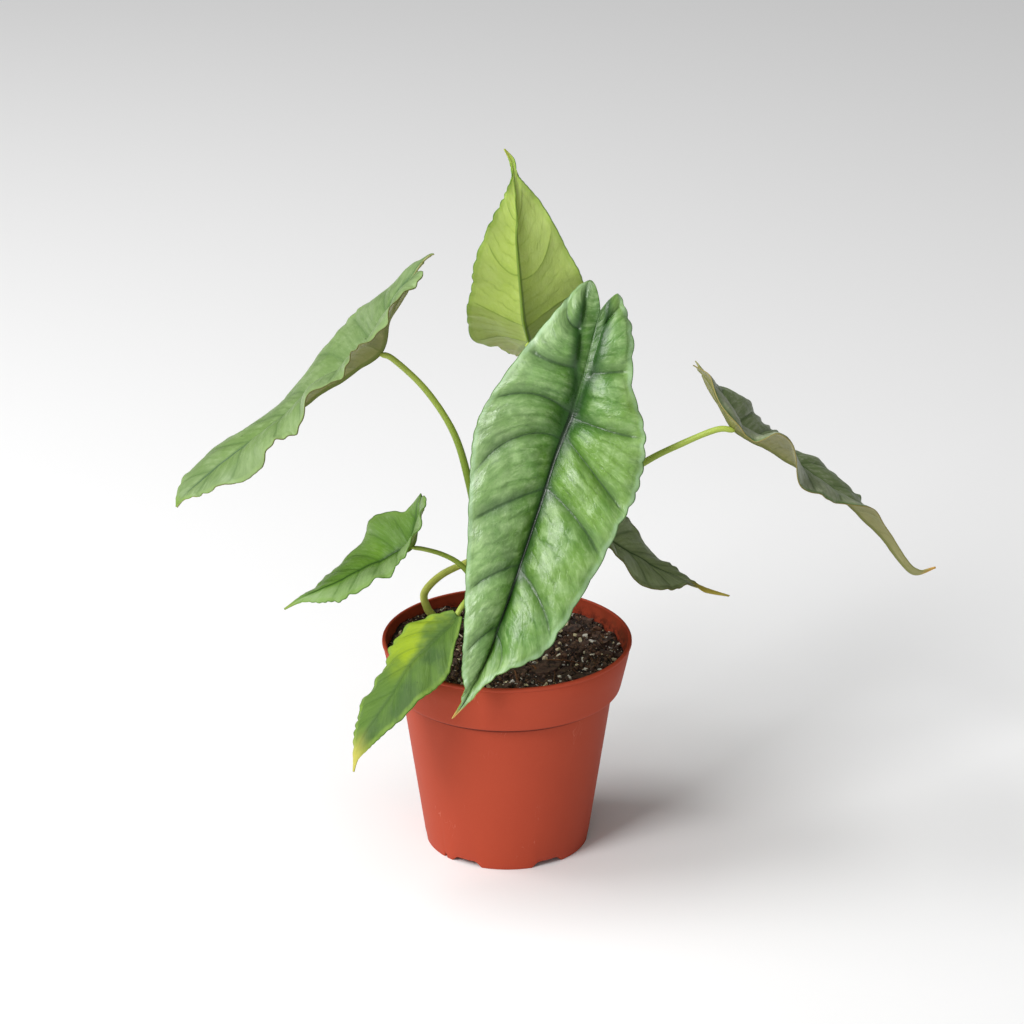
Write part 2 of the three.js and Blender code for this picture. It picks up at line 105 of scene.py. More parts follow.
# Ribs hold a point on the midline, on the left margin and on the right margin. They are the
# part's own, but for the right leaf's first rib, whose two lobe tips are drawn together here.
# petiole: radius at the tip and at the foot, and the stalk's path from the blade to the mix.
# seat: the leaf's length fraction where the stalk joins it. laterals: the side veins of each
# half. costae: the two veins that run back into the lobes, as fractions of the half-width at
# the seat, half-way and at the lobe's tip. marginal: how far inside the margin the collecting
# vein runs. quilt, valley, funnel: height of the swelling between veins, and depth towards
# the midrib and the seat. minor: number and height of the lesser veins. lobe_fill: how far
# the lobes' inner edges are rounded out. teeth: height and number along each margin.
# belly, ripple, ruffle: height of each half's arch, and its long and short waves.
LEAVES = {
    "front": {
        "ribs": [
            [[38, 5, 235], [31, 12, 245], [46, 10, 241]],
            [[35, 0, 225], [18, 3, 233], [51, 0, 226]],
            [[31, -6, 210], [-1, -9, 212], [51, -11, 207]],
            [[26, -12, 195], [-12, -18, 195], [56, -20, 190]],
            [[20, -18, 181], [-15, -28, 174], [53, -29, 171]],
            [[14, -26, 164], [-16, -40, 148], [44, -37, 154]],
            [[6, -36, 142], [-17, -50, 125], [32, -46, 134]],
            [[-2, -46, 121], [-18, -58, 108], [16, -57, 112]],
            [[-9, -54, 104], [-17, -63, 96], [-5, -61, 101]],
            [[-17, -63, 92], [-19, -65, 91], [-15, -64, 92]],
            [[-22, -65, 85]],
        ],
        "belly": (2.5, 2.5), "ripple": ((0.6, 5, 0), (0.9, 6, 0.4)),
        "petiole": (1.3, 2.6, [[26, -12, 195], [25, -6, 189], [22, 0, 165], [12, 2, 130],
                               [6.5, -3, 104], [5.5, -5, 92]]),
        "seat": 0.3,
        "laterals": (
            [(0.18, 0.17, 0.15), (0.29, 0.24, 0.25), (0.36, 0.335, 0.40), (0.475, 0.46, 0.46),
             (0.61, 0.575, 0.565), (0.72, 0.69, 0.69), (0.82, 0.8, 0.8)],
            [(0.19, 0.178, 0.165), (0.3, 0.31, 0.305), (0.35, 0.41, 0.46), (0.475, 0.505, 0.55),
             (0.615, 0.645, 0.69), (0.73, 0.76, 0.8), (0.83, 0.86, 0.89)],
        ),
        "costae": ((0.0, 0.2, 0.75), (0.0, 0.2, 0.36)),
        "marginal": (3.0, 3.0), "quilt": 1.8, "valley": 0.9, "funnel": 2.2, "minor": (4, 0.2),
        "lobe_fill": (5.0, 1.8),
        "teeth": ((0.35, 34), (0.95, 26)), "ruffle": ((0.3, 17, 0.1), (0.8, 14, 0.6)),
    },
    "left": {
        "ribs": [
            [[-39, -3, 249], [-28, 6, 260], [-32, -12, 257]],
            [[-43, -4, 243], [-42, 16, 247], [-41, -20, 251]],
            [[-48, -5, 234], [-54, 24, 234], [-47, -27, 242]],
            [[-52, -5, 221], [-63, 28, 225], [-58, -30, 232]],
            [[-63, -5, 213], [-73, 28, 215], [-65, -32, 222]],
            [[-77, -5, 203], [-85, 28, 196], [-76, -34, 214]],
            [[-88, -5, 195], [-99, 27, 181], [-84, -33, 199]],
            [[-100, -5, 185], [-112, 24, 173], [-93, -31, 190]],
            [[-113, -5, 175], [-124, 18, 168], [-103, -26, 176]],
            [[-124, -6, 166], [-132, 9, 162], [-119, -18, 165]],
            [[-132, -7, 159], [-136, -3, 158], [-130, -12, 160]],
            [[-136, -8, 154]],
        ],
        "belly": (2.5, 3), "ripple": ((0.9, 5, 0), (1.6, 6, 0.4)),
        "petiole": (1.25, 2.6, [[-52, -5, 220], [-46, -4, 217], [-33, -2, 203], [-22, 0, 184],
                                [-16, 1, 163], [-11, 2, 135], [-7.5, 2, 104], [-7, 2, 92]]),
        "seat": 0.27,
        "laterals": (
            [(0.17, 0.15, 0.13), (0.27, 0.27, 0.28), (0.36, 0.38, 0.41), (0.46, 0.49, 0.53),
             (0.56, 0.6, 0.65), (0.67, 0.71, 0.77), (0.79, 0.83, 0.88)],
            [(0.17, 0.15, 0.13), (0.27, 0.27, 0.28), (0.35, 0.38, 0.42), (0.45, 0.49, 0.54),
             (0.55, 0.59, 0.63), (0.68, 0.73, 0.79), (0.79, 0.84, 0.89)],
        ),
        "costae": EVEN_COSTAE,
        "marginal": (2.5, 2.5), "quilt": 0.7, "valley": 0.4, "funnel": 0.0, "minor": (3, 0.15),
        "lobe_fill": (1.5, 1.5),
        "teeth": ((0.3, 40), (0.45, 44)), "ruffle": ((0.3, 15, 0), (0.6, 19, 0.3)),
    },
    "top": {
        "ribs": [
            [[8, 50, 198], [0, 54, 199], [16, 54, 197]],
            [[9, 35, 206], [-8, 45, 206], [26, 46, 206]],
            [[9, 22, 213], [-16, 35, 215], [32, 35, 218]],
            [[9, 15, 218], [-16, 26, 227], [33, 26, 232]],
            [[7, 13, 227], [-15, 22, 238], [31, 22, 242]],
            [[6, 12, 238], [-13, 19, 250], [26, 19, 254]],
            [[5, 12, 250], [-10, 17, 261], [20, 17, 266]],
            [[4, 12, 263], [-5, 15, 272], [13, 15, 279]],
            [[4, 12, 274], [-1, 14, 281], [6, 14, 287]],
            [[3, 13, 286], [2, 13, 289], [4, 13, 291]],
            [[2, 14, 294], [1, 14, 295], [3, 14, 296]],
            [[-1, 15, 300]],
        ],
        "belly": (2.5, 2.5), "ripple": ((1.3, 6, 0), (1.3, 6, 0.4)),
        "petiole": (1.3, 2.6, [[9, 14, 218], [9, 11, 213], [12, 12, 175], [5, 10, 130],
                               [2, 8, 104], [1.5, 7.5, 92]]),
        "seat": 0.27,
        "laterals": (
            [(0.1, 0.07, 0.05), (0.27, 0.17, 0.15), (0.35, 0.323, 0.325), (0.53, 0.508, 0.57),
             (0.7, 0.7, 0.73), (0.82, 0.84, 0.86)],
            [(0.1, 0.07, 0.05), (0.27, 0.2, 0.17), (0.34, 0.335, 0.34), (0.515, 0.495, 0.58),
             (0.7, 0.7, 0.74), (0.82, 0.84, 0.86)],
        ),
        "costae": EVEN_COSTAE,
        "marginal": (1.6, 5.0), "quilt": 0.3, "valley": 0.2, "funnel": 0.0, "minor": (3, 0.08),
        "lobe_fill": (1.5, 1.5),
        "teeth": ((0.7, 20), (0.2, 30)), "ruffle": ((0.4, 18, 0), (0.3, 15, 0.3)),
    },
    "right": {
        "ribs": [
            [[80, 0, 209], [75, -4, 215], [76, 4, 214]],
            [[83, 0, 203], [82, -18, 213], [86, 18, 199]],
            [[88, 0, 195], [87, -28, 206], [96, 26, 190]],
            [[94, 0, 186], [93, -33, 197], [104, 30, 183]],
            [[101, 0, 181], [100, -34, 194], [108, 31, 174]],
            [[107, 0, 178], [108, -36, 196], [115, 31, 170]],
            [[114, 0, 173], [116, -33, 188], [123, 29, 162]],
            [[122, 0, 168], [119, -32, 172], [132, 26, 159]],
            [[131, 0, 161], [128, -27, 166], [142, 22, 152]],
            [[140, 0, 154], [137, -20, 161], [147, 16, 147]],
            [[148, 1, 146], [150, -14, 154], [152, 9, 143]],
            [[155, 2, 138], [158, -6, 143], [157, 7, 137]],
            [[165, 3, 124], [167, 0, 126], [166, 5, 124]],
            [[171, 4, 119], [173, 3, 121], [172, 5, 120]],
            [[179, 4, 122]],
        ],
        "belly": (2.2, 2.5), "ripple": ((1.2, 6, 0), (1.4, 6, 0.4)),
        "petiole": (1.25, 2.6, [[94, 0, 185], [86, 0, 185], [71, 1, 178], [57, 2, 170],
                                [39, 4, 156], [20, 5, 132], [8.5, 4, 104], [7.2, 3.5, 92]]),
        "seat": 0.214,
        "laterals": (LONG_BLADE_VEINS, LONG_BLADE_VEINS),
        "costae": EVEN_COSTAE,
        "marginal": (2.5, 2.5), "quilt": 0.5, "valley": 0.2, "funnel": 0.0, "minor": (3, 0.15),
        "lobe_fill": (0, 0),
        "teeth": ((0.15, 40), (0.7, 36)), "ruffle": ((0.15, 17, 0), (0.8, 17, 0.3)),
    },
    "rear": {
        "ribs": [
            [[25, 19, 149], [24, 14, 156], [27, 25, 151]],
            [[30, 18, 143], [29, 11, 147], [36, 29, 144]],
            [[35, 16, 136], [35, 2, 138], [44, 31, 138]],
            [[43, 15, 130], [42, -3, 135], [51, 32, 133]],
            [[50, 15, 125], [50, -4, 124], [58, 31, 122]],
            [[57, 15, 121], [60, -3, 115], [65, 29, 115]],
            [[63, 15, 117], [69, 2, 113], [71, 25, 113]],
            [[70, 15, 114], [76, 8, 112], [78, 19, 110]],
            [[77, 15, 110], [80, 13, 109], [80, 17, 109]],
            [[84, 15, 107], [84, 14, 106], [85, 16, 107]],
            [[94, 15, 104]],
        ],
        "belly": (1.5, 1.5), "ripple": ((0.7, 6, 0), (0.5, 5, 0.4)),
        "petiole": (1.1, 2, [[35, 15, 135], [29, 16, 137], [14, 18, 134], [-3, 20, 125],
                             [-17, 21, 117], [-28, 21, 111], [-35, 21, 103], [-34, 21, 96],
                             [-31, 21, 90]]),
        "seat": 0.2,
        "laterals": (SHORT_BLADE_VEINS, SHORT_BLADE_VEINS),
        "costae": EVEN_COSTAE,
        "marginal": (1.8, 1.8), "quilt": 0.5, "valley": 0.4, "funnel": 0.0, "minor": (3, 0.12),
        "lobe_fill": (1.2, 1.2),
        "teeth": ((0.25, 26), (0.25, 26)), "ruffle": ((0.3, 13, 0), (0.3, 13, 0.3)),
    },
    "small": {
        "ribs": [
            [[-36, -12, 155], [-35, -8, 160], [-33, -16, 162]],
            [[-37, -11, 149], [-42, -3, 150], [-34, -22, 158]],
            [[-40, -10, 138], [-48, 2, 148], [-37, -26, 150]],
            [[-45, -10, 135], [-57, 5, 143], [-42, -28, 141]],
            [[-51, -11, 132], [-60, 6, 133], [-47, -28, 133]],
            [[-58, -12, 129], [-67, 5, 126], [-55, -28, 129]],
            [[-64, -13, 126], [-74, 2, 120], [-64, -26, 122]],
            [[-70, -14, 123], [-79, -4, 117], [-71, -23, 118]],
            [[-77, -15, 120], [-83, -9, 116], [-79, -19, 116]],
            [[-84, -16, 117], [-86, -14, 116], [-85, -17, 115]],
            [[-92, -17, 112]],
        ],
        "belly": (1.5, 1.5), "ripple": ((0.4, 5, 0), (0.8, 8, 0.4)),
        "petiole": (0.95, 2.3, [[-40, -10, 137], [-34, -10, 136], [-26, -9, 133], [-19, -8, 128],
                                [-13, -7, 119], [-5, -6.5, 101], [-4, -7, 92]]),
        "seat": 0.2,
        "laterals": (SHORT_BLADE_VEINS, SHORT_BLADE_VEINS),
        "costae": EVEN_COSTAE,
        "marginal": (1.8, 1.8), "quilt": 0.5, "valley": 0.4, "funnel": 0.0, "minor": (3, 0.12),
        "lobe_fill": (2.6, 2.6),
        "teeth": ((0.2, 26), (0.75, 22)), "ruffle": ((0.2, 13, 0), (0.3, 15, 0.3)),
    },
    "low": {
        "ribs": [
            [[-20, -40, 119], [-22, -38, 121], [-18, -43, 120]],
            [[-23, -42, 116], [-34, -35, 116], [-20, -50, 114]],
            [[-27, -44, 113], [-42, -35, 111], [-22, -56, 108]],
            [[-32, -47, 109], [-47, -36, 104], [-24, -60, 101]],
            [[-38, -50, 104], [-50, -39, 96], [-30, -62, 96]],
            [[-43, -54, 97], [-54, -43, 90], [-37, -65, 91]],
            [[-48, -58, 90], [-59, -49, 84], [-44, -67, 84]],
            [[-53, -62, 84], [-61, -56, 79], [-51, -68, 78]],
            [[-58, -66, 77], [-62, -63, 74], [-56, -69, 73]],
            [[-61, -69, 70], [-62, -68, 69], [-60, -70, 69]],
            [[-62, -71, 64]],
        ],
        "belly": (1.8, 1.8), "ripple": ((0.6, 7, 0), (0.5, 6, 0.4)),
        "petiole": (1.15, 2.2, [[-21, -39, 118], [-18, -36, 122], [-14, -31, 124], [-8, -24, 120],
                                [-2, -16, 108], [0.5, -11, 98], [1, -10, 92]]),
        "seat": 0.0,
        "laterals": (LOW_BLADE_VEINS, LOW_BLADE_VEINS),
        "costae": None,
        "marginal": (1.8, 1.8), "quilt": 0.5, "valley": 0.5, "funnel": 0.0, "minor": (3, 0.12),
        "lobe_fill": (0, 0),
        "teeth": ((1.3, 15), (0.35, 22)), "ruffle": ((0.3, 13, 0), (0.2, 13, 0.3)),
    },
}


def catmull(points, at):
    """Uniform Catmull-Rom through the points, read at fractions of its length of knots."""
    p = np.asarray(points, float)
    knots = len(p) - 1
    x = np.clip(np.asarray(at, float), 0, 1) * knots
    i = np.minimum(x.astype(int), knots - 1)
    f = (x - i)[:, None]
    a, b = p[i], p[i + 1]
    before = np.where((i > 0)[:, None], p[np.maximum(i - 1, 0)], 2 * a - b)
    after = np.where((i < knots - 1)[:, None], p[np.minimum(i + 2, knots)], 2 * b - a)
    return 0.5 * (2 * a + (b - before) * f + (2 * before - 5 * a + 4 * b - after) * f ** 2
                  + (3 * a - before - 3 * b + after) * f ** 3)


def unit(v):
    return v / np.maximum(np.linalg.norm(v, axis=-1, keepdims=True), 1e-12)


def through_three(values, t):
    """The quadratic that has these values at t = 0, 0.5 and 1."""
    start, half, end = values
    return start * (1 - t) * (1 - 2 * t) + half * 4 * t * (1 - t) + end * t * (2 * t - 1)


def lumps(points, size, seed, waves=14):
    """Soft seeded relief between -1 and 1: sine waves in many directions, about size across."""
    random = np.random.default_rng(seed)
    directions = unit(random.normal(size=(waves, 3)))
    total = np.zeros(points.shape[:-1])
    for direction in directions:
        pitch = TAU / (size * random.uniform(0.7, 1.6))
        total += np.sin(points @ direction * pitch + random.uniform(0, TAU))
    return total / math.sqrt(waves) / 1.4


def grid_normals(p):
    return unit(np.cross(np.gradient(p, axis=0), np.gradient(p, axis=1)))


def piece(name, points, faces, materials, slot, stands_for, indices=None, fields=None, smooth=True):
    """A mesh in millimetres becomes a named piece in metres that rides with the part."""
    mesh = bpy.data.meshes.new(name)
    mesh.from_pydata((np.asarray(points, float) * MM).tolist(), [], faces)
    for material in materials:
        mesh.materials.append(material)
    if indices is not None:
        mesh.polygons.foreach_set("material_index", indices)
    mesh.polygons.foreach_set("use_smooth", [smooth] * len(mesh.polygons))
    for field, values in (fields or {}).items():
        kind, key = ("FLOAT_VECTOR", "vector") if np.ndim(values) == 2 else ("FLOAT", "value")
        made = mesh.attributes.new(field, kind, "POINT")
        made.data.foreach_set(key, np.asarray(values, np.float32).ravel())
    mesh.update()
    obj = bpy.data.objects.new(name, mesh)
    bpy.context.scene.collection.objects.link(obj)
    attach(obj, "root")
    for node in stands_for:
        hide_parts(node)
    return obj


def leaf_half(leaf, k, u, t):
    """One half of a blade without its relief: middle surface points, half-widths and facing."""
    ribs = leaf["ribs"]
    tip = np.array(ribs[-1][0], float)
    across = unit(np.subtract(ribs[-2][2], ribs[-2][1])) * TIP_HALF_WIDTH
    full = [np.array(rib, float) for rib in ribs[:-1]] + [np.array([tip, tip - across, tip + across])]
    full = np.array(full)
    side = (-1, 1)[k]
    middle = catmull(full[:, 0], u)
    nudge = 1e-4
    along = unit(catmull(full[:, 0], u + nudge) - catmull(full[:, 0], u - nudge))
    out = catmull(full[:, 1 + k], u) - middle
    face = unit(np.cross(along, out) * side)
    width = np.linalg.norm(out, axis=1)
    spread = np.minimum(1, width / FULL_WIDTH)
    height, waves, phase = leaf["ripple"][k]
    ripple = height * np.minimum(1, 2 * spread) * np.sin(TAU * (waves * u + phase))
    fine, fine_waves, fine_phase = leaf["ruffle"][k]
    quiet = np.minimum(1, 3 * spread) * np.clip(u / 0.05, 0, 1) * np.clip((1 - u) / 0.1, 0, 1)
    drift, pace = RUFFLE_DRIFT
    ruffle = fine * quiet * np.sin(TAU * (fine_waves * u + fine_phase) + drift * np.sin(TAU * pace * u))
    tooth, teeth = leaf["teeth"][k]
    tooth = tooth * quiet
    drift, pace = TOOTH_DRIFT
    reach = tooth * np.abs(np.sin(math.pi * teeth * u + drift * np.sin(TAU * pace * u)))
    belly = leaf["belly"][k] * spread
    lift = (belly[:, None] * 4 * t * (1 - t) + ripple[:, None] * t ** 3 + ruffle[:, None] * t ** 5)
    corner = LOBE_ROUNDING * np.clip(1 - u / LOBE_LENGTH, 0, 1) ** 2 * (leaf["seat"] > 0)
    stretched = t + ((reach - tooth / 2) / np.maximum(width, 1) - corner)[:, None] * t ** 4
    points = middle[:, None] + out[:, None] * stretched[:, :, None] + face[:, None] * lift[:, :, None]
    # the lobes' inner edges are rounded out past the straight first rib
    fill = leaf["lobe_fill"][k] * np.clip(1 - u / LOBE_FILL_LENGTH, 0, 1) ** 2
    points -= along[:, None] * (fill[:, None] * np.sin(math.pi * t) ** 0.8)[:, :, None]
    return points, width


def vein_fields(leaf, k, u, t, width, length):
    """Where each point of a half lies among its veins.

    fan counts the side veins, and is whole on each. gap is their spacing in millimetres, rib
    the distance from the midrib or costa in its own half-widths. inside marks the lobes' inner
    sides, which have no side veins.
    """
    knots = np.array([through_three(v, t) for v in leaf["laterals"][k]])
    step = knots[1] - knots[0]
    ahead = [knots[0] - n * step for n in (3, 2, 1)]
    first = len(ahead)
    knots = np.vstack([*ahead, knots, np.full_like(step, 1.05)])
    counted = np.arange(len(knots)) - float(first)
    fan = np.array([np.interp(u, knots[:, j], counted) for j in range(len(t))]).T
    index = np.clip(np.floor(fan).astype(int) + first, 0, len(knots) - 2)
    column = np.arange(len(t))[None, :]
    gap = (knots[index + 1, column] - knots[index, column]) * length
    rib_width = 1.35 - 0.95 * u ** 0.8
    rib = t[None, :] * width[:, None] / rib_width[:, None]
    inside = np.zeros((len(u), len(t)))
    if leaf["costae"]:
        seat = leaf["seat"]
        back = np.clip(1 - u / seat, 0, 1)
        costa = through_three(leaf["costae"][k], back)
        costa_width = 0.95 - 0.45 * back
        off = (t[None, :] - costa[:, None]) * width[:, None]
        near = np.abs(off) / costa_width[:, None]
        lobes = (u < seat * 0.98)[:, None]
        # the midline of the lobes is only a seam, so the costae take the midrib's place there
        fade = np.clip((seat - u) / (0.25 * seat), 0, 1)[:, None]
        rib = np.where(lobes, np.minimum(near, rib + 3 * fade), rib)
        inside = np.where(lobes, np.clip(-off / 1.5, 0, 1) * fade, 0)
    return fan, gap, rib, inside


def blade_relief(leaf, fan, gap, rib, inside, t, u, width, thin, length):
    """How far the middle surface is pushed towards the upper face, vein by vein."""
    out = t[None, :] * width[:, None]
    envelope = (np.clip(t / 0.25, 0, 1) * np.clip((1 - t) / 0.18, 0, 1))[None, :]
    open_blade = 1 - inside
    swell = np.abs(np.sin(math.pi * fan)) ** 0.75 * np.minimum(1, gap / 12) * open_blade
    thin = thin * np.clip(1.35 - u, 0.45, 1)[:, None]
    quilt = leaf["quilt"] * (swell - 0.4) * envelope * thin
    from_vein = np.abs(fan - np.round(fan)) * gap
    furrow = 0.55 * leaf["quilt"] * np.exp(-(from_vein / FURROW_REACH) ** 2) * envelope * open_blade * thin
    crease = CREASE_DEPTH * np.exp(-(from_vein / CREASE_WIDTH) ** 2) * envelope * open_blade * thin
    # lesser veins between the side veins, broken up along their length
    count, height = leaf["minor"]
    spot = np.stack([fan * 12, out * 0.55, 0 * out], axis=-1)
    uneven = 0.75 + 0.5 * lumps(spot, 9, 61)
    shift = 0.12 * lumps(spot, 14, 62)
    minor = height * (np.abs(np.sin(math.pi * count * (fan + shift))) ** 0.8 - 0.5) * uneven
    crinkle = 0.55 * height * lumps(spot, 3.6, 63)
    from_midrib = np.clip(t / 0.12, 0, 1)[None, :]
    from_margin = np.clip((1 - t) / 0.1, 0, 1)[None, :]
    fine = (minor + crinkle) * from_midrib * from_margin * thin
    from_tip = np.clip((0.95 - u) / 0.3, 0, 1)[:, None]
    valley = leaf["valley"] * np.exp(-(out / VALLEY_REACH) ** 2) * thin * from_tip
    to_seat = np.hypot(out, (u[:, None] - leaf["seat"]) * length)
    funnel = leaf["funnel"] * np.exp(-(to_seat / FUNNEL_REACH) ** 2)
    groove = GROOVE_DEPTH * np.exp(-(rib / 1.6) ** 2) * thin
    return quilt + fine - furrow - crease - valley - funnel - groove


def sheet_faces(shape):
    """Quads of a closed sheet, whose upper grid of points is followed by the lower one."""
    count = shape[0] * shape[1]
    index = np.arange(count).reshape(shape)
    a, b, c, d = index[:-1, :-1], index[:-1, 1:], index[1:, 1:], index[1:, :-1]
    up = np.stack([a, d, c, b], axis=-1).reshape(-1, 4)
    down = np.stack([a, b, c, d], axis=-1).reshape(-1, 4) + count
    loop = np.concatenate([index[0, :-1], index[:-1, -1], index[-1, :0:-1], index[:0:-1, 0]])
    after = np.roll(loop, -1)
    edge = np.stack([loop, after, after + count, loop + count], axis=-1)
    return up, down, edge


def fold_offsets(points, middle):
    """The way out from the midrib across each row, and how far out each point lies that way."""
    along = unit(np.gradient(points[:, middle], axis=0))
    across = points[:, -1] - points[:, 0]
    across = unit(across - along * (across * along).sum(axis=1, keepdims=True))
    side = np.sign(np.arange(points.shape[1]) - middle)
    away = ((points - points[:, middle:middle + 1]) * across[:, None]).sum(axis=-1) * side
    return across[:, None] * side[:, None], away


def open_fold(points, out, middle):
    """Keeps the halves of a tightly folded blade a little apart beside the midrib."""
    outward, away = fold_offsets(points, middle)
    return points + outward * np.maximum(0, LEAST_OPENING * out - away)[:, :, None]


def settled_normals(points, out, middle):
    """Normals that turn smoothly across the midrib, however tightly the blade is folded there."""
    facing = grid_normals(points)
    crease = unit(facing[:, middle - FOLD_STEP] + facing[:, middle + FOLD_STEP])[:, None]
    share = np.clip(out / CREASE_REACH, 0, 1)[:, :, None] ** 2
    return unit(crease * (1 - share) + facing * share)


def build_blade(name, leaf, upper, under):
    ribs = np.array([rib[0] for rib in leaf["ribs"]], float)
    length = np.linalg.norm(np.diff(ribs, axis=0), axis=1).sum()
    widest = max(np.linalg.norm(np.subtract(rib[k], rib[0])) for rib in leaf["ribs"][:-1] for k in (1, 2))
    rows = int(length / GRID_STEP)
    columns = int(widest / GRID_STEP)
    u = np.linspace(0, 1, rows + 1)
    t = np.linspace(0, 1, columns + 1)
    halves = []
    for k in (0, 1):
        points, width = leaf_half(leaf, k, u, t)
        fan, gap, rib, inside = vein_fields(leaf, k, u, t, width, length)
        thin = np.minimum(1, width / 14)[:, None]
        relief = blade_relief(leaf, fan, gap, rib, inside, t, u, width, thin, length)
        rim = (1 - t)[None, :] * width[:, None]
        marginal = rim - leaf["marginal"][k] * np.minimum(1, width / 20)[:, None]
        side = np.full_like(rim, (-1, 1)[k]) * t[None, :]
        whole = np.broadcast_to(u[:, None], rim.shape)
        out = t[None, :] * width[:, None]
        halves.append([points, fan, gap, rib, inside, relief, rim, marginal, side, whole, out])
    joined = []
    for left, right in zip(*halves):
        joined.append(np.concatenate([left[:, :0:-1], right], axis=1))
    points, fan, gap, rib, inside, relief, rim, marginal, side, whole, out = joined
    thin = np.clip(rim / 4, 0.25, 1)
    for height, size, seed in WARPS:
        relief = relief + height * lumps(points, size, seed) * thin
    relief = relief * np.clip(whole / 0.05, 0.1, 1)
    points = open_fold(points, out, columns)
    middle = points + settled_normals(points, out, columns) * relief[:, :, None]
    middle = open_fold(middle, out, columns)
    normals = settled_normals(middle, out, columns)
    body = MARGIN_THICKNESS + (BLADE_THICKNESS - MARGIN_THICKNESS) * np.clip(rim / 5, 0, 1)
    taper = 1 - 0.8 * whole
    keel_width = KEEL_HALF_WIDTH * (1 - 0.72 * whole)
    keel = KEEL * taper * np.sqrt(np.clip(1 - (out / keel_width) ** 2, 0, 1))
    if leaf["costae"]:
        keel *= np.clip((whole - 0.6 * leaf["seat"]) / (0.3 * leaf["seat"]), 0, 1)
    height, reach = VEIN_RIDGE
    ridge = height * np.exp(-(np.abs(fan - np.round(fan)) * gap / reach) ** 2) * np.clip(rim / 4, 0, 1)
    ridge = ridge * (1 - inside)
    height, reach = COSTA_RIDGE
    costal = height * np.exp(-(rib / reach) ** 2) * (whole < leaf["seat"])
    # where the blade is folded tightly its thickness goes to the outside of the fold
    outward, away = fold_offsets(middle, columns)
    closing = np.maximum(-(normals * outward).sum(axis=-1), 0.05)
    inward = np.minimum(body / 2, 0.02 + 0.8 * np.maximum(away, 0) / closing)
    top = middle + normals * inward[:, :, None]
    ribbed = np.maximum(np.maximum(keel, ridge), costal)
    below = middle - normals * (body - inward + ribbed)[:, :, None]
    up, down, edge = sheet_faces(top.shape[:2])
    faces = np.vstack([up, down, edge]).tolist()
    indices = np.repeat([0, 1, name in PALE_EDGES], [len(up), len(down), len(edge)])
    flow = np.stack([fan, out / 20, gap], axis=-1).reshape(-1, 3)
    place = np.stack([np.minimum(rib, 20), rim, marginal], axis=-1).reshape(-1, 3)
    along = np.stack([whole, side, inside], axis=-1).reshape(-1, 3)
    by_name = {"flow": flow, "veins": place, "along": along}
    fields = {field: np.tile(values, (2, 1)) for field, values in by_name.items()}
    vertices = np.vstack([top.reshape(-1, 3), below.reshape(-1, 3)])
    return piece(f"leaf_{name}", vertices, faces, [upper, under], f"leaf_{name}", [f"blade_{name}"],
                 indices=indices, fields=fields)


def ring_faces(rings, sides):
    """Faces over rings of points, closed by the two end points that follow them."""
    index = np.arange(rings * sides).reshape(rings, sides)
    a, b = index[:-1], np.roll(index[:-1], -1, axis=1)
    d, c = index[1:], np.roll(index[1:], -1, axis=1)
    faces = np.stack([a, b, c, d], axis=-1).reshape(-1, 4).tolist()
    first, last = index.size, index.size + 1
    for k in range(sides):
        n = (k + 1) % sides
        faces.append([first, int(index[0, n]), int(index[0, k])])
        faces.append([last, int(index[-1, k]), int(index[-1, n])])
    return faces


def tube(path, radii, sides):
    """Closed round tube with a frame that turns as little as it can."""
    path = np.asarray(path, float)
    tangents = unit(np.gradient(path, axis=0))
    normal = unit(np.cross(tangents[0], [0.3, 0.9, 0.2]))
    rings = []
    angles = np.arange(sides) / sides * TAU
    for place, tangent, radius in zip(path, tangents, radii):
        normal = unit(normal - tangent * (normal @ tangent))
        other = np.cross(tangent, normal)
        ring = place + radius * (np.outer(np.cos(angles), normal) + np.outer(np.sin(angles), other))
        rings.append(ring)
    return np.vstack([*rings, path[:1], path[-1:]]), ring_faces(len(path), sides)


def even_path(knots, step):
    """Points at even steps along the smooth curve through the knots."""
    fine = catmull(knots, np.linspace(0, 1, 400))
    run = np.concatenate([[0], np.cumsum(np.linalg.norm(np.diff(fine, axis=0), axis=1))])
    count = max(3, int(run[-1] / step))
    even = np.linspace(0, run[-1], count + 1)
    return np.stack([np.interp(even, run, fine[:, k]) for k in range(3)], axis=1), even / run[-1]


def build_petiole(name, leaf, material):
    tip, foot, knots = leaf["petiole"]
    ribs = leaf["ribs"]
    at = min(len(ribs) - 2, max(1, round(leaf["seat"] * (len(ribs) - 1))))
    ahead = np.subtract(ribs[at + 1][0] if at + 1 < len(ribs) - 1 else ribs[-1][0], ribs[at - 1][0])
    upper = unit(np.cross(ahead, np.subtract(ribs[at][2], ribs[at][1])))
    sunk = leaf["valley"] + leaf["funnel"] + 0.3
    start = np.array(knots[0], float) - upper * sunk * (leaf["seat"] > 0)
    path, share = even_path([start, *knots[1:], [*knots[-1][:2], STEM_FOOT]], 1.0)
    radii = tip + (foot - tip) * share ** 1.6
    radii = radii * (1 + 0.03 * lumps(path, 15, 11))
    radii[0] *= 0.55
    radii[1] *= 0.85
    points, faces = tube(path, radii, STALK_SIDES)
    along = np.concatenate([np.repeat(share, STALK_SIDES), [0, 1]])
    return piece(f"stalk_{name}", points, faces, [material], "stalk_tissue", [f"petiole_{name}"],
                 fields={"stalk": along})


# Pot

POT_SEGMENTS = 360
NOTCH_HEIGHT = 2.3
NOTCH_SLOPE = 2.2           # half the width of a notch's sloping side, in degrees
DRILL_SIDES = 40
DRILL_DEPTH = 6
DRILL_HEIGHT = 3.5
SLIT_ANGLE, SLIT_HALF, SLIT_HEIGHT = 221.4, 0.8, 1.8      # small slot in the skirt, in degrees


def body_radius(z):
    return POT["base"] + (POT["shoulder"] - POT["base"]) * z / POT["shoulder_height"]


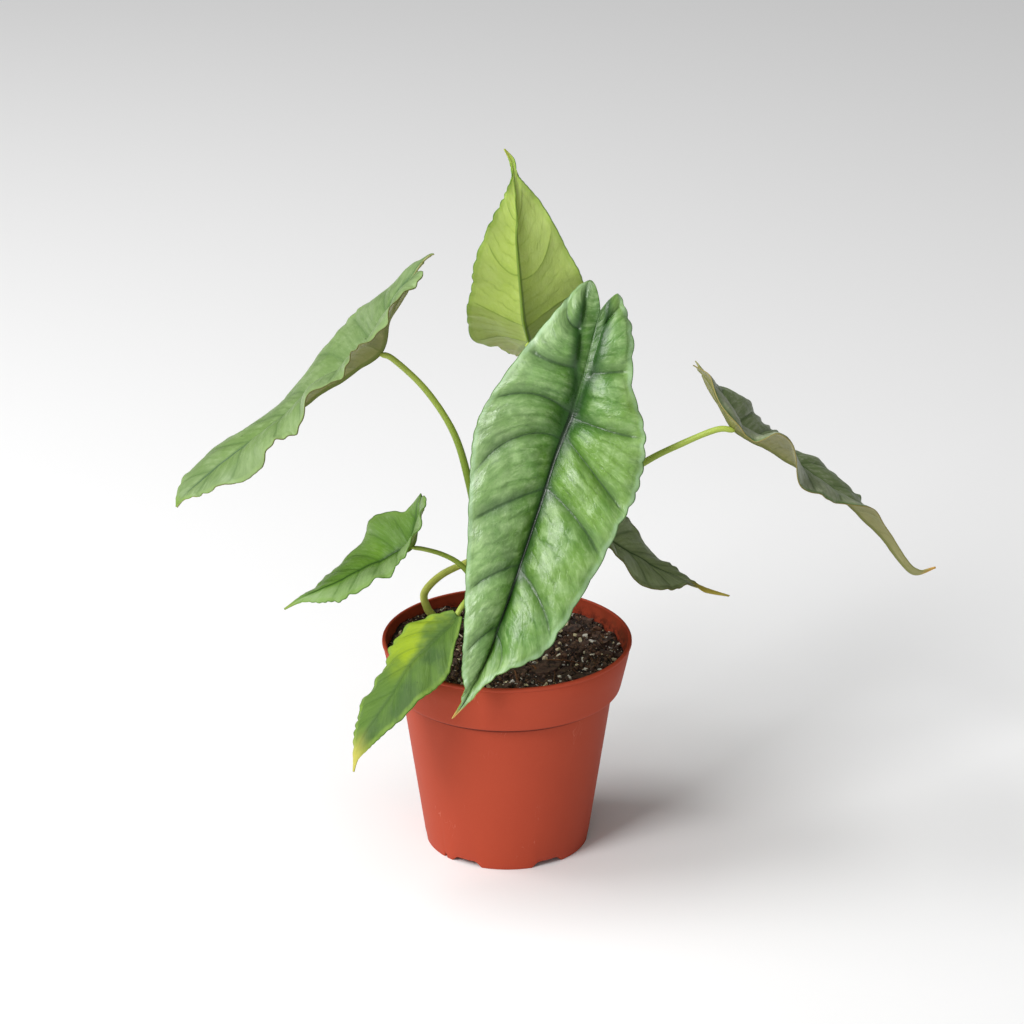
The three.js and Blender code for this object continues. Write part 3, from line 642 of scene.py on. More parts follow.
def collar_radius(z):
    low = POT["height"] - POT["collar_height"]
    return POT["collar_foot"] + (POT["rim"] - POT["collar_foot"]) * (z - low) / POT["collar_height"]


def revolve(profile, segments):
    """Rings of a body of revolution, with a point on the axis at each end."""
    profile = np.asarray(profile, float)
    rings = profile[1:-1]
    angle = np.arange(segments) / segments * TAU
    x = rings[:, :1] * np.cos(angle)
    y = rings[:, :1] * np.sin(angle)
    z = np.repeat(rings[:, 1:], segments, axis=1)
    points = np.stack([x, y, z], axis=-1)
    ends = np.array([[0, 0, profile[0, 1]], [0, 0, profile[-1, 1]]])
    return points, ends, ring_faces(len(rings), segments)


def pot_profile():
    """Outline of half the pot as radius and height, from under the pad round to the floor inside."""
    height, wall, under, floor = POT["height"], POT["wall"], POT["floor_under"], POT["floor_top"]
    skirt, base, rim = POT["base"] - wall, POT["base"], POT["rim"]
    lip_in = collar_radius(height - 2) - wall
    return [
        (0, 0), (POT["pad"] - 0.4, 0), (POT["pad"], 0.15), (POT["pad"] + 0.9, under - 0.3),
        (POT["pad"] + 1.3, under), (skirt - 0.5, under), (skirt - 0.1, under - 0.15), (skirt, under - 0.5),
        (skirt, 0.35), (skirt + 0.1, 0.1), (skirt + 0.35, 0), (base - 0.3, 0), (base - 0.06, 0.1),
        (base + 0.03, 0.4), (body_radius(4), 4), (body_radius(20), 20), (body_radius(45), 45),
        (body_radius(68.4), 68.4), (body_radius(69.3), 69.3), (44.9, 69.75), (45.6, 70.0), (46.7, 70.3),
        (47.5, 70.8), (47.95, 71.4), (48.2, 72.2), (48.4, 73), (collar_radius(82), 82),
        (collar_radius(90), 90), (collar_radius(90.3) - 0.22, 90.3), (rim - 0.25, 90.5), (rim, 90.8),
        (rim - 0.08, 91.45), (rim - 0.3, 91.8), (rim - 0.6, 91.97), (rim - 1.0, height),
        (rim - 1.4, 91.95), (rim - 1.7, 91.7),
        (lip_in + 0.06, 91.2), (lip_in, 90), (collar_radius(82) - wall, 82),
        (collar_radius(74.5) - wall, 74.5), (46.4, 73.4), (body_radius(72) - wall + 0.9, 72.6),
        (body_radius(71) - wall + 0.2, 71.2), (body_radius(69) - wall, 69), (body_radius(40) - wall, 40),
        (body_radius(floor + 1) - wall, floor + 1), (body_radius(floor) - wall - 0.6, floor + 0.1),
        (body_radius(floor) - wall - 1.4, floor), (0, floor),
    ]


def build_pot(material):
    points, ends, faces = revolve(pot_profile(), POT_SEGMENTS)
    degrees = np.arange(POT_SEGMENTS) * 360 / POT_SEGMENTS
    spacing = 360 / POT["feet"]
    off = np.abs((degrees + spacing / 2) % spacing - spacing / 2)
    half = math.degrees(math.asin(POT["foot_gap"] / 2 / POT["base"]))
    lift = NOTCH_HEIGHT * np.clip((half + NOTCH_SLOPE - off) / (2 * NOTCH_SLOPE), 0, 1) ** 0.8
    slit = SLIT_HEIGHT * (np.abs(degrees - SLIT_ANGLE) < SLIT_HALF)
    lift = np.maximum(lift, slit)
    skirt = points[:, :, 2] < 1.0
    outer = np.linalg.norm(points[:, :, :2], axis=2) > POT["base"] - POT["wall"] - 0.2
    points[:, :, 2] += np.where(skirt & outer, lift[None, :], 0)
    mesh_points = np.vstack([points.reshape(-1, 3), ends])
    pot = piece("pot_shell", mesh_points, faces, [material], "pot_plastic", ["pot"])
    drill = bmesh.new()
    for k in range(POT["feet"]):
        angle = TAU * k / POT["feet"]
        made = bmesh.ops.create_cone(drill, cap_ends=True, segments=DRILL_SIDES, radius1=POT["drain"] * MM,
                                     radius2=POT["drain"] * MM, depth=DRILL_DEPTH * MM)
        shift = (POT["drain_circle"] * MM * math.cos(angle), POT["drain_circle"] * MM * math.sin(angle),
                 DRILL_HEIGHT * MM)
        bmesh.ops.translate(drill, verts=made["verts"], vec=shift)
    drill_mesh = bpy.data.meshes.new("drill")
    drill.to_mesh(drill_mesh)
    drill.free()
    cutter = bpy.data.objects.new("drill", drill_mesh)
    bpy.context.scene.collection.objects.link(cutter)
    cut = pot.modifiers.new("drain_holes", "BOOLEAN")
    cut.operation = "DIFFERENCE"
    cut.solver = "EXACT"
    cut.object = cutter
    done = bpy.data.meshes.new_from_object(pot.evaluated_get(bpy.context.evaluated_depsgraph_get()))
    pot.modifiers.clear()
    pot.data = done
    bpy.data.objects.remove(cutter)
    return pot


# Potting mix

SOIL_RINGS = 90
SOIL_SEGMENTS = 300
SOIL_CRUMBS = ((0.55, 7, 21), (0.35, 2.6, 22), (0.2, 1.3, 23))     # relief: height, size and seed
SMALL_CHIPS = 53                    # besides the large ones
SMALL_CHIP_LENGTH = (4, 11)
CHIP_GRID = (9, 4)                  # points along and across a chip
FIBRE_STEPS = 7
FIBRE_SIDES = 5
STRAND_SIDES = 8
LUMP_SHAPES = {}                    # filled by round_shape

# Large chips of bark: place, length, width and heading in radians
CHIPS = (
    (16.4, -15.8, 16, 9.5, 1.05), (16.2, 1.5, 17, 4.6, 1.1), (25.3, 0.2, 8.5, 3.2, 0.7),
    (26.8, 23.4, 10, 5.5, 0.7), (31, -22, 11, 4, 0.25), (38, 20, 8, 3, 1.3), (34, 33, 7, 3.2, 2.4),
    (-26, 36, 5, 3.5, 0.3), (-24, 28, 10, 4, 0.5), (-40, 6, 9, 3, 1.2), (41, 2, 7, 2.6, 1.9),
)
# Perlite grains that stand out: place, half-length, cream share and whether pitted
GRAINS = (
    (25.2, 27.5, 1.2, 0.9, 0), (30.7, 25.4, 1.4, 0.7, 1), (31.3, 11.9, 1.2, 0.7, 0),
    (35.6, 11.9, 1.3, 0.3, 0), (27.1, 12.9, 0.5, 0.0, 0), (21.5, 2.7, 1.5, 0.9, 0),
    (19.3, -5.5, 1.8, 0.1, 1), (15.9, -7.5, 1.5, 0.8, 0), (22.4, 7.8, 1.2, 0.9, 0),
    (16.0, 1.6, 0.5, 0.2, 0), (26.0, 23.3, 0.5, 0.3, 0), (32.9, -14.5, 1.0, 0.5, 1),
    (39.1, -17.5, 1.4, 0.3, 1), (39.0, -5.5, 0.5, 0.0, 0), (0.0, -31.3, 1.3, 0.8, 1),
    (2.5, -31.3, 1.4, 0.1, 0), (7.9, -32.3, 0.9, 0.9, 0), (28.6, -27.4, 1.0, 0.5, 0),
    (-28.4, 38.8, 1.1, 0.2, 0), (-32.9, 34.4, 1.0, 0.3, 0), (-43.3, -0.4, 0.7, 0.6, 0),
    (-45.2, 14.6, 1.2, 0.9, 0), (36.5, 4.5, 1.1, 0.8, 0), (24.0, 13.5, 1.0, 0.9, 1),
)
# Roots and slivers: radius, and points as x, y and height over the mix
PALE_STRANDS = ((0.3, [(-21.6, 16.2, 0.9), (-20.2, 14, 1.1), (-18.8, 11.8, 0.8)]),)
BROWN_STRANDS = (
    (0.4, [(3.1, -28.3, 4.6), (3.5, -29, 3.2), (4.6, -31.1, 0.2), (5, -32, -0.8)]),
    (0.5, [(10.3, -14.3, 0.9), (11.2, -17, 1.2), (12.2, -19.6, 0.9)]),
    (0.28, [(16.3, -10.4, 1.6), (24, -10.6, 0.9), (31.4, -8.3, 0.5)]),
    (0.14, [(19.6, -19.3, 1.2), (19.9, -25, 1.1), (19, -31.1, 0.5)]),
)
STEM_FEET = [(leaf["petiole"][2][-1][:2], leaf["petiole"][1]) for leaf in LEAVES.values()]


def soil_surface(x, y):
    """Height of the mix: the part's gentle heaps with crumbs on them."""
    x, y = np.asarray(x, float), np.asarray(y, float)
    heap = 0.9 * np.sin(0.21 * x + 1.3) * np.cos(0.17 * y - 0.6) + 0.5 * np.sin(0.47 * x - 0.39 * y)
    flat = np.stack([x, y, 0 * x], axis=-1)
    crumbs = sum(height * lumps(flat, size, seed) for height, size, seed in SOIL_CRUMBS)
    return SOIL_LEVEL + SOIL_TILT[0] * x + SOIL_TILT[1] * y + heap + crumbs


def soil_reach(z):
    """Outer radius of the mix at this height, against the collar's inside."""
    return collar_radius(z) - POT["wall"] - 0.1


def build_soil(material):
    low = POT["floor_top"] + SOIL_GAP
    shoulder = POT["shoulder_height"]
    below = [(0, low), (body_radius(low) - POT["wall"] - SOIL_GAP, low),
             (body_radius(shoulder) - POT["wall"] - SOIL_GAP, shoulder),
             (body_radius(72) - POT["wall"] + 0.2, 72.2), (soil_reach(74.5) - 0.3, 75), (soil_reach(80), 80)]
    rings = [(soil_reach(SOIL_LEVEL) * (1 - r / SOIL_RINGS), SOIL_LEVEL) for r in range(SOIL_RINGS)]
    points, ends, faces = revolve([*below, *rings, (0, SOIL_LEVEL)], SOIL_SEGMENTS)
    top = points[len(below) - 1:]
    top[:, :, 2] = soil_surface(top[:, :, 0], top[:, :, 1])
    outer = top[0]
    reach = soil_reach(outer[:, 2])
    outer[:, :2] *= (reach / np.linalg.norm(outer[:, :2], axis=1))[:, None]
    ends[1, 2] = soil_surface(0, 0)
    return piece("potting_mix", np.vstack([points.reshape(-1, 3), ends]), faces, [material], "potting_mix",
                 ["soil"])


def gathered(bodies):
    """Points and faces of several bodies as those of one."""
    points, faces, start = [], [], 0
    for body_points, body_faces in bodies:
        points.append(body_points)
        faces.extend([[v + start for v in face] for face in body_faces])
        start += len(body_points)
    return np.vstack(points), faces


def round_shape(level):
    """Points and faces of a unit ball, made once for each level of detail."""
    if level not in LUMP_SHAPES:
        ball = bmesh.new()
        bmesh.ops.create_icosphere(ball, subdivisions=level, radius=1)
        points = np.array([v.co[:] for v in ball.verts])
        LUMP_SHAPES[level] = points, np.array([[v.index for v in f.verts] for f in ball.faces])
        ball.free()
    return LUMP_SHAPES[level]


def turn_matrix(random, tilt):
    """A random heading with a tilt of up to so many radians."""
    heading, lean, roll = random.uniform(0, TAU), random.uniform(-tilt, tilt), random.uniform(-tilt, tilt)
    cz, sz = math.cos(heading), math.sin(heading)
    cx, sx = math.cos(lean), math.sin(lean)
    cy, sy = math.cos(roll), math.sin(roll)
    about_z = np.array([[cz, -sz, 0], [sz, cz, 0], [0, 0, 1]])
    about_x = np.array([[1, 0, 0], [0, cx, -sx], [0, sx, cx]])
    about_y = np.array([[cy, 0, sy], [0, 1, 0], [-sy, 0, cy]])
    return about_z @ about_x @ about_y


def on_chip(x, y):
    for chip_x, chip_y, length, width, heading in CHIPS:
        c, s = math.cos(heading), math.sin(heading)
        along = (x - chip_x) * c + (y - chip_y) * s
        across = (y - chip_y) * c - (x - chip_x) * s
        if abs(along) < 0.45 * length and abs(across) < 0.42 * width:
            return True
    return False


def soil_spot(random, clear):
    """A random place on the mix that is clear of the stems and of the large chips."""
    while True:
        angle = random.uniform(0, TAU)
        distance = (soil_reach(SOIL_LEVEL) - clear) * math.sqrt(random.uniform(0, 1))
        x, y = distance * math.cos(angle), distance * math.sin(angle)
        if on_chip(x, y):
            continue
        if all(math.hypot(x - fx, y - fy) > radius + clear * 0.8 for (fx, fy), radius in STEM_FEET):
            return x, y


def chipped(points, random, cuts):
    """A lump with flat faces knocked off it."""
    for direction in unit(random.normal(size=(cuts, 3))):
        over = np.maximum(points @ direction - random.uniform(0.35, 0.8), 0)
        points = points - over[:, None] * direction
    return points


def pitted(points, direction):
    """A lump with a round pit in one side."""
    near = np.clip((unit(points) @ direction - 0.76) / 0.14, 0, 1)
    return points * (1 - 0.5 * near)[:, None]


def scatter_lumps(name, material, seed, count, sizes, shape, level, rough, sink, cuts=0, pits=0.0, spots=()):
    """Many loose lumps on the mix as one piece.

    sizes: least and greatest half-length. level: detail of a lump. rough: its unevenness. sink:
    share of its height that lies in the mix. cuts: flat faces knocked off. pits: share of pitted
    lumps. spots: the first lumps' places.
    """
    random = np.random.default_rng(seed)
    ball, ball_faces = round_shape(level)
    all_points, all_faces, tints = [], [], []
    for k in range(count):
        size = sizes[0] + (sizes[1] - sizes[0]) * random.uniform(0, 1) ** 2.2
        tint = random.uniform(0, 1)
        pit = random.uniform(0, 1) < pits
        if k < len(spots):
            x, y, size, tint, pit = spots[k]
        else:
            x, y = soil_spot(random, size)
        stretch = np.array(shape) * random.uniform(0.75, 1.25, 3)
        points = chipped(ball * (1 + rough * random.uniform(-1, 1, len(ball)))[:, None], random, cuts)
        if pit:
            points = pitted(points, unit(np.array([random.uniform(-0.6, 0.6), random.uniform(-1, 0), 1])))
            points = points * stretch * size
        else:
            points = (points * stretch * size) @ turn_matrix(random, 3.0).T
        z = soil_surface(x, y) + size * min(stretch) * (1 - sink)
        all_faces.append(ball_faces + len(ball) * k)
        all_points.append(points + [x, y, z])
        tints.append(np.full(len(ball), float(tint)))
    return piece(name, np.vstack(all_points), np.vstack(all_faces).tolist(), [material], "potting_mix",
                 ["soil"], fields={"tint": np.concatenate(tints)}, smooth=False)


def build_bark(material):
    """Flat splintered chips of bark lying on the mix."""
    random = np.random.default_rng(31)
    long, wide = CHIP_GRID
    chips = []
    for k in range(len(CHIPS) + SMALL_CHIPS):
        if k < len(CHIPS):
            x, y, length, width, heading = CHIPS[k]
        else:
            length = random.uniform(*SMALL_CHIP_LENGTH)
            width = length * random.uniform(0.2, 0.45)
            x, y = soil_spot(random, length * 0.55)
            heading = random.uniform(0, TAU)
        along = np.linspace(-0.5, 0.5, long)[:, None] * length + random.uniform(-0.5, 0.5, (long, wide))
        narrowing = 1 - 0.5 * np.abs(np.linspace(-1, 1, long)) ** 3
        across = np.linspace(-0.5, 0.5, wide)[None, :] * width * narrowing[:, None]
        across = across + random.uniform(-0.25, 0.25, (long, wide))
        thick = random.uniform(0.5, 1.1) * (1 + 0.3 * random.uniform(-1, 1, (long, wide)))
        bow = random.uniform(-0.02, 0.02) * along ** 2
        lean = random.uniform(-0.12, 0.12)
        c, s = math.cos(heading), math.sin(heading)
        px, py = x + along * c - across * s, y + along * s + across * c
        base = float(np.mean(soil_surface(px, py))) + 0.15
        top = np.stack([px, py, base + thick + bow + along * lean], axis=-1).reshape(-1, 3)
        under = np.stack([px, py, base - 0.5 + bow + along * lean], axis=-1).reshape(-1, 3)
        chips.append((np.vstack([top, under]), np.vstack(sheet_faces((long, wide))).tolist()))
    return piece("bark_chips", *gathered(chips), [material], "potting_mix", ["soil"], smooth=False)


def build_fibres(material, name, seed, count, lengths, thickness, rise):
    """Thin roots and splinters lying on the mix."""
    random = np.random.default_rng(seed)
    fibres = []
    for _ in range(count):
        length = random.uniform(*lengths)
        x, y = soil_spot(random, length * 0.5)
        heading, bend = random.uniform(0, TAU), random.uniform(-1.2, 1.2)
        run = np.linspace(-0.5, 0.5, FIBRE_STEPS)
        direction = heading + bend * run
        px = x + run * length * np.cos(direction)
        py = y + run * length * np.sin(direction)
        pz = soil_surface(px, py) + thickness + rise * random.uniform(0, 1) * np.clip(run + 0.3, 0, 1)
        radii = thickness * (1 - 0.5 * np.abs(2 * run))
        fibres.append(tube(np.stack([px, py, pz], axis=1), radii, FIBRE_SIDES))
    return piece(name, *gathered(fibres), [material], "potting_mix", ["soil"])


def build_strands(name, material, strands):
    """Placed roots and slivers."""
    tubes = []
    for radius, knots in strands:
        path, share = even_path([(x, y, soil_surface(x, y) + rise) for x, y, rise in knots], 0.5)
        thick = radius * (1 - 0.4 * np.abs(2 * share - 1) ** 3) * (1 + 0.15 * lumps(path, 2.5, 71))
        tubes.append(tube(path, thick, STRAND_SIDES))
    return piece(name, *gathered(tubes), [material], "potting_mix", ["soil"])


CROWN_STUB = ((0, 75.5), (3.4, 75.6), (3.5, 80), (3.5, 84), (3.2, 86.4), (2.2, 88.2), (0, 88.8))
CROWN_SEGMENTS = 40
SHEATHS = 7
SHEATH_RADIUS = 3.6
SHEATH_HALF = 0.1           # half the thickness of a sheath
SHEATH_FOOT = 77
SHEATH_NECK = 84.5          # the sheaths close in above this height
SHEATH_TOPS = (86.4, 89.8)
SHEATH_GRID = (16, 9)       # points up and round a sheath
SPROUT_SIDES = 14


def build_crown(material):
    """The stub that the stalks grow from, wrapped in dry pointed sheaths."""
    random = np.random.default_rng(81)
    points, ends, faces = revolve(CROWN_STUB, CROWN_SEGMENTS)
    points[:, :, :2] *= (1 + 0.04 * lumps(points, 3, 82))[:, :, None]
    bodies = [(np.vstack([points.reshape(-1, 3), ends]), faces)]
    tall, wide = SHEATH_GRID
    rise = np.linspace(0, 1, tall)[:, None]
    for k in range(SHEATHS):
        angle = TAU * (k + random.uniform(-0.2, 0.2)) / SHEATHS
        top = random.uniform(*SHEATH_TOPS)
        z = SHEATH_FOOT + (top - SHEATH_FOOT) * rise + np.zeros((1, wide))
        half = 0.75 * (1 - rise ** 4) + 0.03
        turn = angle + half * np.linspace(-1, 1, wide)[None, :] + 0.1 * rise
        wrinkles = 0.08 * lumps(np.stack([turn * 3, z, 0 * z], axis=-1), 1.6, 83 + k)
        radius = SHEATH_RADIUS + 0.04 * k - 1.3 * np.clip((z - SHEATH_NECK) / 5, 0, 1) ** 2 + wrinkles
        sheets = []
        for r in (radius + SHEATH_HALF, radius - SHEATH_HALF):
            sheets.append(np.stack([r * np.cos(turn), r * np.sin(turn), z], axis=-1).reshape(-1, 3))
        bodies.append((np.vstack(sheets), np.vstack(sheet_faces((tall, wide)))[:, ::-1].tolist()))
    return piece("crown_sheaths", *gathered(bodies), [material], "crown_tissue", ["crown"])


def build_sprout(material):
    """The tip of the next leaf, still rolled."""
    path, share = even_path(SPROUT, 0.4)
    radii = 0.04 + 0.86 * np.clip(share / 0.5, 0, 1) ** 0.55
    points, faces = tube(path, radii, SPROUT_SIDES)
    along = np.concatenate([np.repeat(0.3 * share, SPROUT_SIDES), [0, 0.3]])
    return piece("sprout_tip", points, faces, [material], "stalk_tissue", ["sprout"], fields={"stalk": along})


# Materials

class Wiring:
    """Adds shader nodes to one tree. A value is a number, a colour or another node's output."""

    def __init__(self, tree):
        self.tree = tree

    def node(self, kind, inputs=None, **settings):
        made = self.tree.nodes.new("ShaderNode" + kind)
        for key, value in settings.items():
            setattr(made, key, value)
        for key, value in (inputs or {}).items():
            self.plug(made.inputs[key], value)
        return made

    def plug(self, socket, value):
        if isinstance(value, bpy.types.NodeSocket):
            self.tree.links.new(value, socket)
        else:
            socket.default_value = value

    def math(self, operation, a, b=0.0, clamp=False):
        made = self.node("Math", operation=operation, use_clamp=clamp)
        for socket, value in zip(made.inputs, (a, b, 0.0)):
            self.plug(socket, value)
        return made.outputs[0]

    def times(self, a, b, clamp=False):
        return self.math("MULTIPLY", a, b, clamp)

    def plus(self, a, b):
        return self.math("ADD", a, b)

    def minus(self, a, b):
        return self.math("SUBTRACT", a, b)

    def remap(self, value, low, high, to_low=0.0, to_high=1.0):
        """to_low up to low and to_high from high on, smoothly between them."""
        made = self.node("MapRange", interpolation_type="SMOOTHSTEP")
        for socket, entry in zip(made.inputs, (value, low, high, to_low, to_high)):
            self.plug(socket, entry)
        return made.outputs[0]

    def mix(self, factor, a, b):
        made = self.node("Mix", data_type="RGBA", blend_type="MIX")
        self.plug(made.inputs[0], factor)
        self.plug(made.inputs[6], a)
        self.plug(made.inputs[7], b)
        return made.outputs[2]

    def noise(self, vector, scale, detail=3.0, roughness=0.55, distortion=0.0):
        made = self.node("TexNoise", {"Vector": vector, "Scale": scale, "Detail": detail,
                                      "Roughness": roughness, "Distortion": distortion})
        return made.outputs[0]

    def attribute(self, name):
        return self.node("Attribute", attribute_name=name)

    def place(self):
        return self.node("TexCoord").outputs["Object"]

    def split(self, vector):
        return self.node("SeparateXYZ", {0: vector}).outputs

    def patches(self, mottle, scale, softness, level):
        values = {"Scale": scale, "Softness": softness, "Level": level}
        return self.node("Group", values, node_tree=mottle).outputs[0]

    def dots(self, specks, scale, size, share):
        values = {"Scale": scale, "Size": size, "Share": share}
        return self.node("Group", values, node_tree=specks).outputs[0]

    def join(self, x, y, z=0.0):
        made = self.node("CombineXYZ")
        for socket, value in zip(made.inputs, (x, y, z)):
            self.plug(socket, value)
        return made.outputs[0]


KINDS = {"colour": "NodeSocketColor", "number": "NodeSocketFloat", "vector": "NodeSocketVector"}


def shader_group(name, inputs, outputs):
    tree = bpy.data.node_groups.new(name, "ShaderNodeTree")
    for label, kind, value in inputs:
        socket = tree.interface.new_socket(label, in_out="INPUT", socket_type=KINDS[kind])
        socket.default_value = value
    for label, kind in outputs:
        tree.interface.new_socket(label, in_out="OUTPUT", socket_type=KINDS[kind])
    wiring = Wiring(tree)
    entry = tree.nodes.new("NodeGroupInput").outputs
    leave = tree.nodes.new("NodeGroupOutput").inputs
    return tree, wiring, entry, leave


def colour(red, green, blue):
    """A colour as the eye's 0 to 255 numbers, made linear."""
    linear = [c / 255 / 12.92 if c <= 10 else ((c / 255 + 0.055) / 1.055) ** 2.4 for c in (red, green, blue)]
    return (*linear, 1.0)


GREY = (0.5, 0.5, 0.5, 1.0)


def mottle_group():
    """Soft patches: a mask that is 0 in one patch and 1 in the next."""
    tree, w, entry, leave = shader_group(
        "mottle", [("Scale", "number", 40.0), ("Softness", "number", 0.15), ("Level", "number", 0.5)],
        [("Mask", "number")])
    noise = w.noise(w.place(), entry["Scale"], 4.0, 0.6, 0.3)
    low = w.minus(entry["Level"], entry["Softness"])
    high = w.plus(entry["Level"], entry["Softness"])
    w.plug(leave["Mask"], w.remap(noise, low, high))
    return tree


def specks_group():
    """Scattered small dots."""
    tree, w, entry, leave = shader_group(
        "specks", [("Scale", "number", 300.0), ("Size", "number", 0.12), ("Share", "number", 0.3)],
        [("Mask", "number")])
    cells = w.node("TexVoronoi", {"Vector": w.place(), "Scale": entry["Scale"]})
    dot = w.remap(cells.outputs["Distance"], entry["Size"], w.times(entry["Size"], 0.5))
    chosen = w.split(cells.outputs["Color"])[0]
    kept = w.math("LESS_THAN", chosen, entry["Share"])
    w.plug(leave["Mask"], w.times(dot, kept))
    return tree


def leaf_skin_group(mottle, specks):
    """A blade's colour, gloss and fine relief from where each point lies among its veins."""
    tree, w, entry, leave = shader_group(
        "leaf_skin",
        [("Base", "colour", GREY), ("Deep", "colour", GREY), ("Pale", "colour", GREY),
         ("Warm", "colour", GREY), ("Vein", "colour", GREY), ("Rim", "colour", GREY),
         ("Rim Light", "colour", GREY), ("Tip", "colour", GREY), ("Foot", "colour", GREY),
         ("Deep Amount", "number", 0.6), ("Pale Amount", "number", 0.4), ("Warm Amount", "number", 0.4),
         ("Warm Side", "number", 0.0), ("Streaks", "number", 0.35), ("Lateral Strength", "number", 0.6),
         ("Midrib Strength", "number", 0.95), ("Midrib Reach", "number", 4.5),
         ("Rim Width", "number", 0.35), ("Tip Start", "number", 0.9), ("Tip Length", "number", 0.08),
         ("Foot Amount", "number", 0.0), ("Specks", "number", 0.2), ("Gloss", "number", 0.36),
         ("Line Width", "number", 0.9), ("Shade Amount", "number", 0.8), ("Midrib Width", "number", 1.0),
         ("Warm End", "number", 2.0), ("Painted Light Side", "number", 0.0), ("Painted Light End", "number", 2.0),
         ("Outer Pale", "number", 0.1), ("Midrib End", "number", 0.93), ("Costa Strength", "number", 0.5),
         ("Seat", "number", 0.0), ("Length", "number", 200.0), ("Seat Shade", "number", 0.0)],
        [("Color", "colour"), ("Roughness", "number"), ("Height", "number")])
    fan, out, gap = w.split(w.attribute("flow").outputs["Vector"])
    rib, rim, marginal = w.split(w.attribute("veins").outputs["Vector"])
    whole, side, inside = w.split(w.attribute("along").outputs["Vector"])
    place = w.place()
    open_blade = w.minus(1.0, inside)
    open_rim = w.remap(rim, 0.8, 5.0)
    sway = w.minus(w.noise(place, 160.0), 0.5)
    wobble = w.times(sway, 1.1)
    broken = w.remap(w.noise(place, 210.0, 2.0), 0.3, 0.62)
    before_tip = w.remap(whole, 0.985, 0.88)
    rib_fade = w.remap(w.minus(whole, entry["Midrib End"]), 0.05, -0.13)

    # distances in millimetres to the side veins and to the lesser veins between them
    phase = w.math("PINGPONG", w.plus(fan, 100.0), 0.5)
    to_vein = w.plus(w.times(phase, gap), wobble)
    line_core = w.times(entry["Line Width"], 0.17)
    line = w.remap(w.math("ABSOLUTE", to_vein), entry["Line Width"], line_core)
    line = w.times(w.times(line, open_blade), w.times(open_rim, before_tip))
    line = w.times(line, rib_fade)
    # painted shade: darker green in the furrows beside each side vein, partly the blade's own colour there
    shade = w.remap(w.math("ABSOLUTE", to_vein), 4.2, 0.3)
    shade = w.times(w.times(shade, open_blade), w.remap(rim, 0.0, 9.0))
    shade = w.times(shade, rib_fade)
    swayed = w.plus(w.plus(fan, 100.0), w.times(sway, 0.25))
    quarter = w.math("PINGPONG", w.times(swayed, 4.0), 0.5)
    lesser = w.times(quarter, w.times(gap, 0.25))
    minor = w.times(w.remap(lesser, 0.7, 0.1), w.times(broken, open_rim))
    minor = w.times(w.times(minor, open_blade), rib_fade)
    collect = w.remap(w.math("ABSOLUTE", w.plus(marginal, wobble)), 0.6, 0.1)
    collect = w.times(collect, w.times(broken, 0.3))

    # streaks beside the side veins, and the finest net between them
    along_veins = w.join(w.times(fan, 9.0), w.times(out, 2.6), side)
    streak = w.noise(along_veins, 1.6, 4.0, 0.65, 0.6)
    cells = w.join(w.plus(w.times(fan, 8.0), wobble),
                   w.plus(w.times(out, 8.0), w.times(streak, 1.2)), side)
    net = w.node("TexVoronoi", {"Vector": cells, "Scale": 1.0}, feature="DISTANCE_TO_EDGE")
    mesh_lines = w.times(w.remap(net.outputs["Distance"], 0.11, 0.0), broken)

    patch = w.patches(mottle, 48.0, 0.16, 0.52)
    patch_fine = w.patches(mottle, 150.0, 0.2, 0.52)
    warm_patch = w.patches(mottle, 33.0, 0.14, 0.5)
    half = w.remap(w.times(side, entry["Warm Side"]), -0.25, 0.25)
    other_half = w.minus(1.0, half)

    deep = w.times(w.times(patch, entry["Deep Amount"]), other_half)
    tone = w.mix(w.times(deep, 1.6, clamp=True), entry["Base"], entry["Deep"])
    warm = w.times(w.times(warm_patch, entry["Warm Amount"]), half)
    warm = w.times(warm, w.remap(w.minus(whole, entry["Warm End"]), 0.12, -0.12))
    tone = w.mix(w.times(warm, 1.8, clamp=True), tone, entry["Warm"])
    # painted light: one half of the blade made paler, fading out along the leaf: a painted sheen on upper
    # sides, and light coming through on the top leaf's underside; the blade is also made paler away from the
    # midrib, partly its own colour, partly painted sheen
    painted_light_half = w.remap(w.times(side, entry["Painted Light Side"]), 0.02, 0.26)
    near = w.times(painted_light_half, w.math("ABSOLUTE", entry["Painted Light Side"]))
    near = w.times(near, w.remap(w.minus(whole, entry["Painted Light End"]), 0.15, -0.2))
    near = w.math("MAXIMUM", near, w.times(w.remap(out, 0.15, 0.85), entry["Outer Pale"]))
    near = w.times(near, w.plus(0.7, w.times(patch_fine, 0.3)))
    tone = w.mix(near, tone, entry["Pale"])
    # pale on the crests between the lesser veins: partly the blade's own silvery colour, partly a painted
    # sheen
    crest = w.remap(lesser, 0.2, 1.6)
    silver_and_sheen = w.times(w.times(patch_fine, crest), entry["Pale Amount"])
    silver_and_sheen = w.times(silver_and_sheen, w.minus(1.0, w.times(shade, 0.9)))
    tone = w.mix(silver_and_sheen, tone, entry["Pale"])
    # paler towards the margin: partly the blade's own colour, partly a painted sheen on the rolled edge
    pale_rim_and_sheen = w.times(w.remap(rim, 13.0, 2.0), w.times(entry["Pale Amount"], 0.45))
    tone = w.mix(pale_rim_and_sheen, tone, entry["Pale"])
    tone = w.mix(w.times(w.remap(streak, 0.5, 0.7), entry["Streaks"]), tone, entry["Pale"])
    tone = w.mix(w.times(w.remap(streak, 0.48, 0.25), entry["Streaks"]), tone, entry["Deep"])
    weak = w.times(entry["Lateral Strength"], 0.3)
    tone = w.mix(w.times(mesh_lines, w.times(weak, 0.5)), tone, entry["Vein"])
    tone = w.mix(w.times(minor, w.times(weak, 0.9)), tone, entry["Vein"])
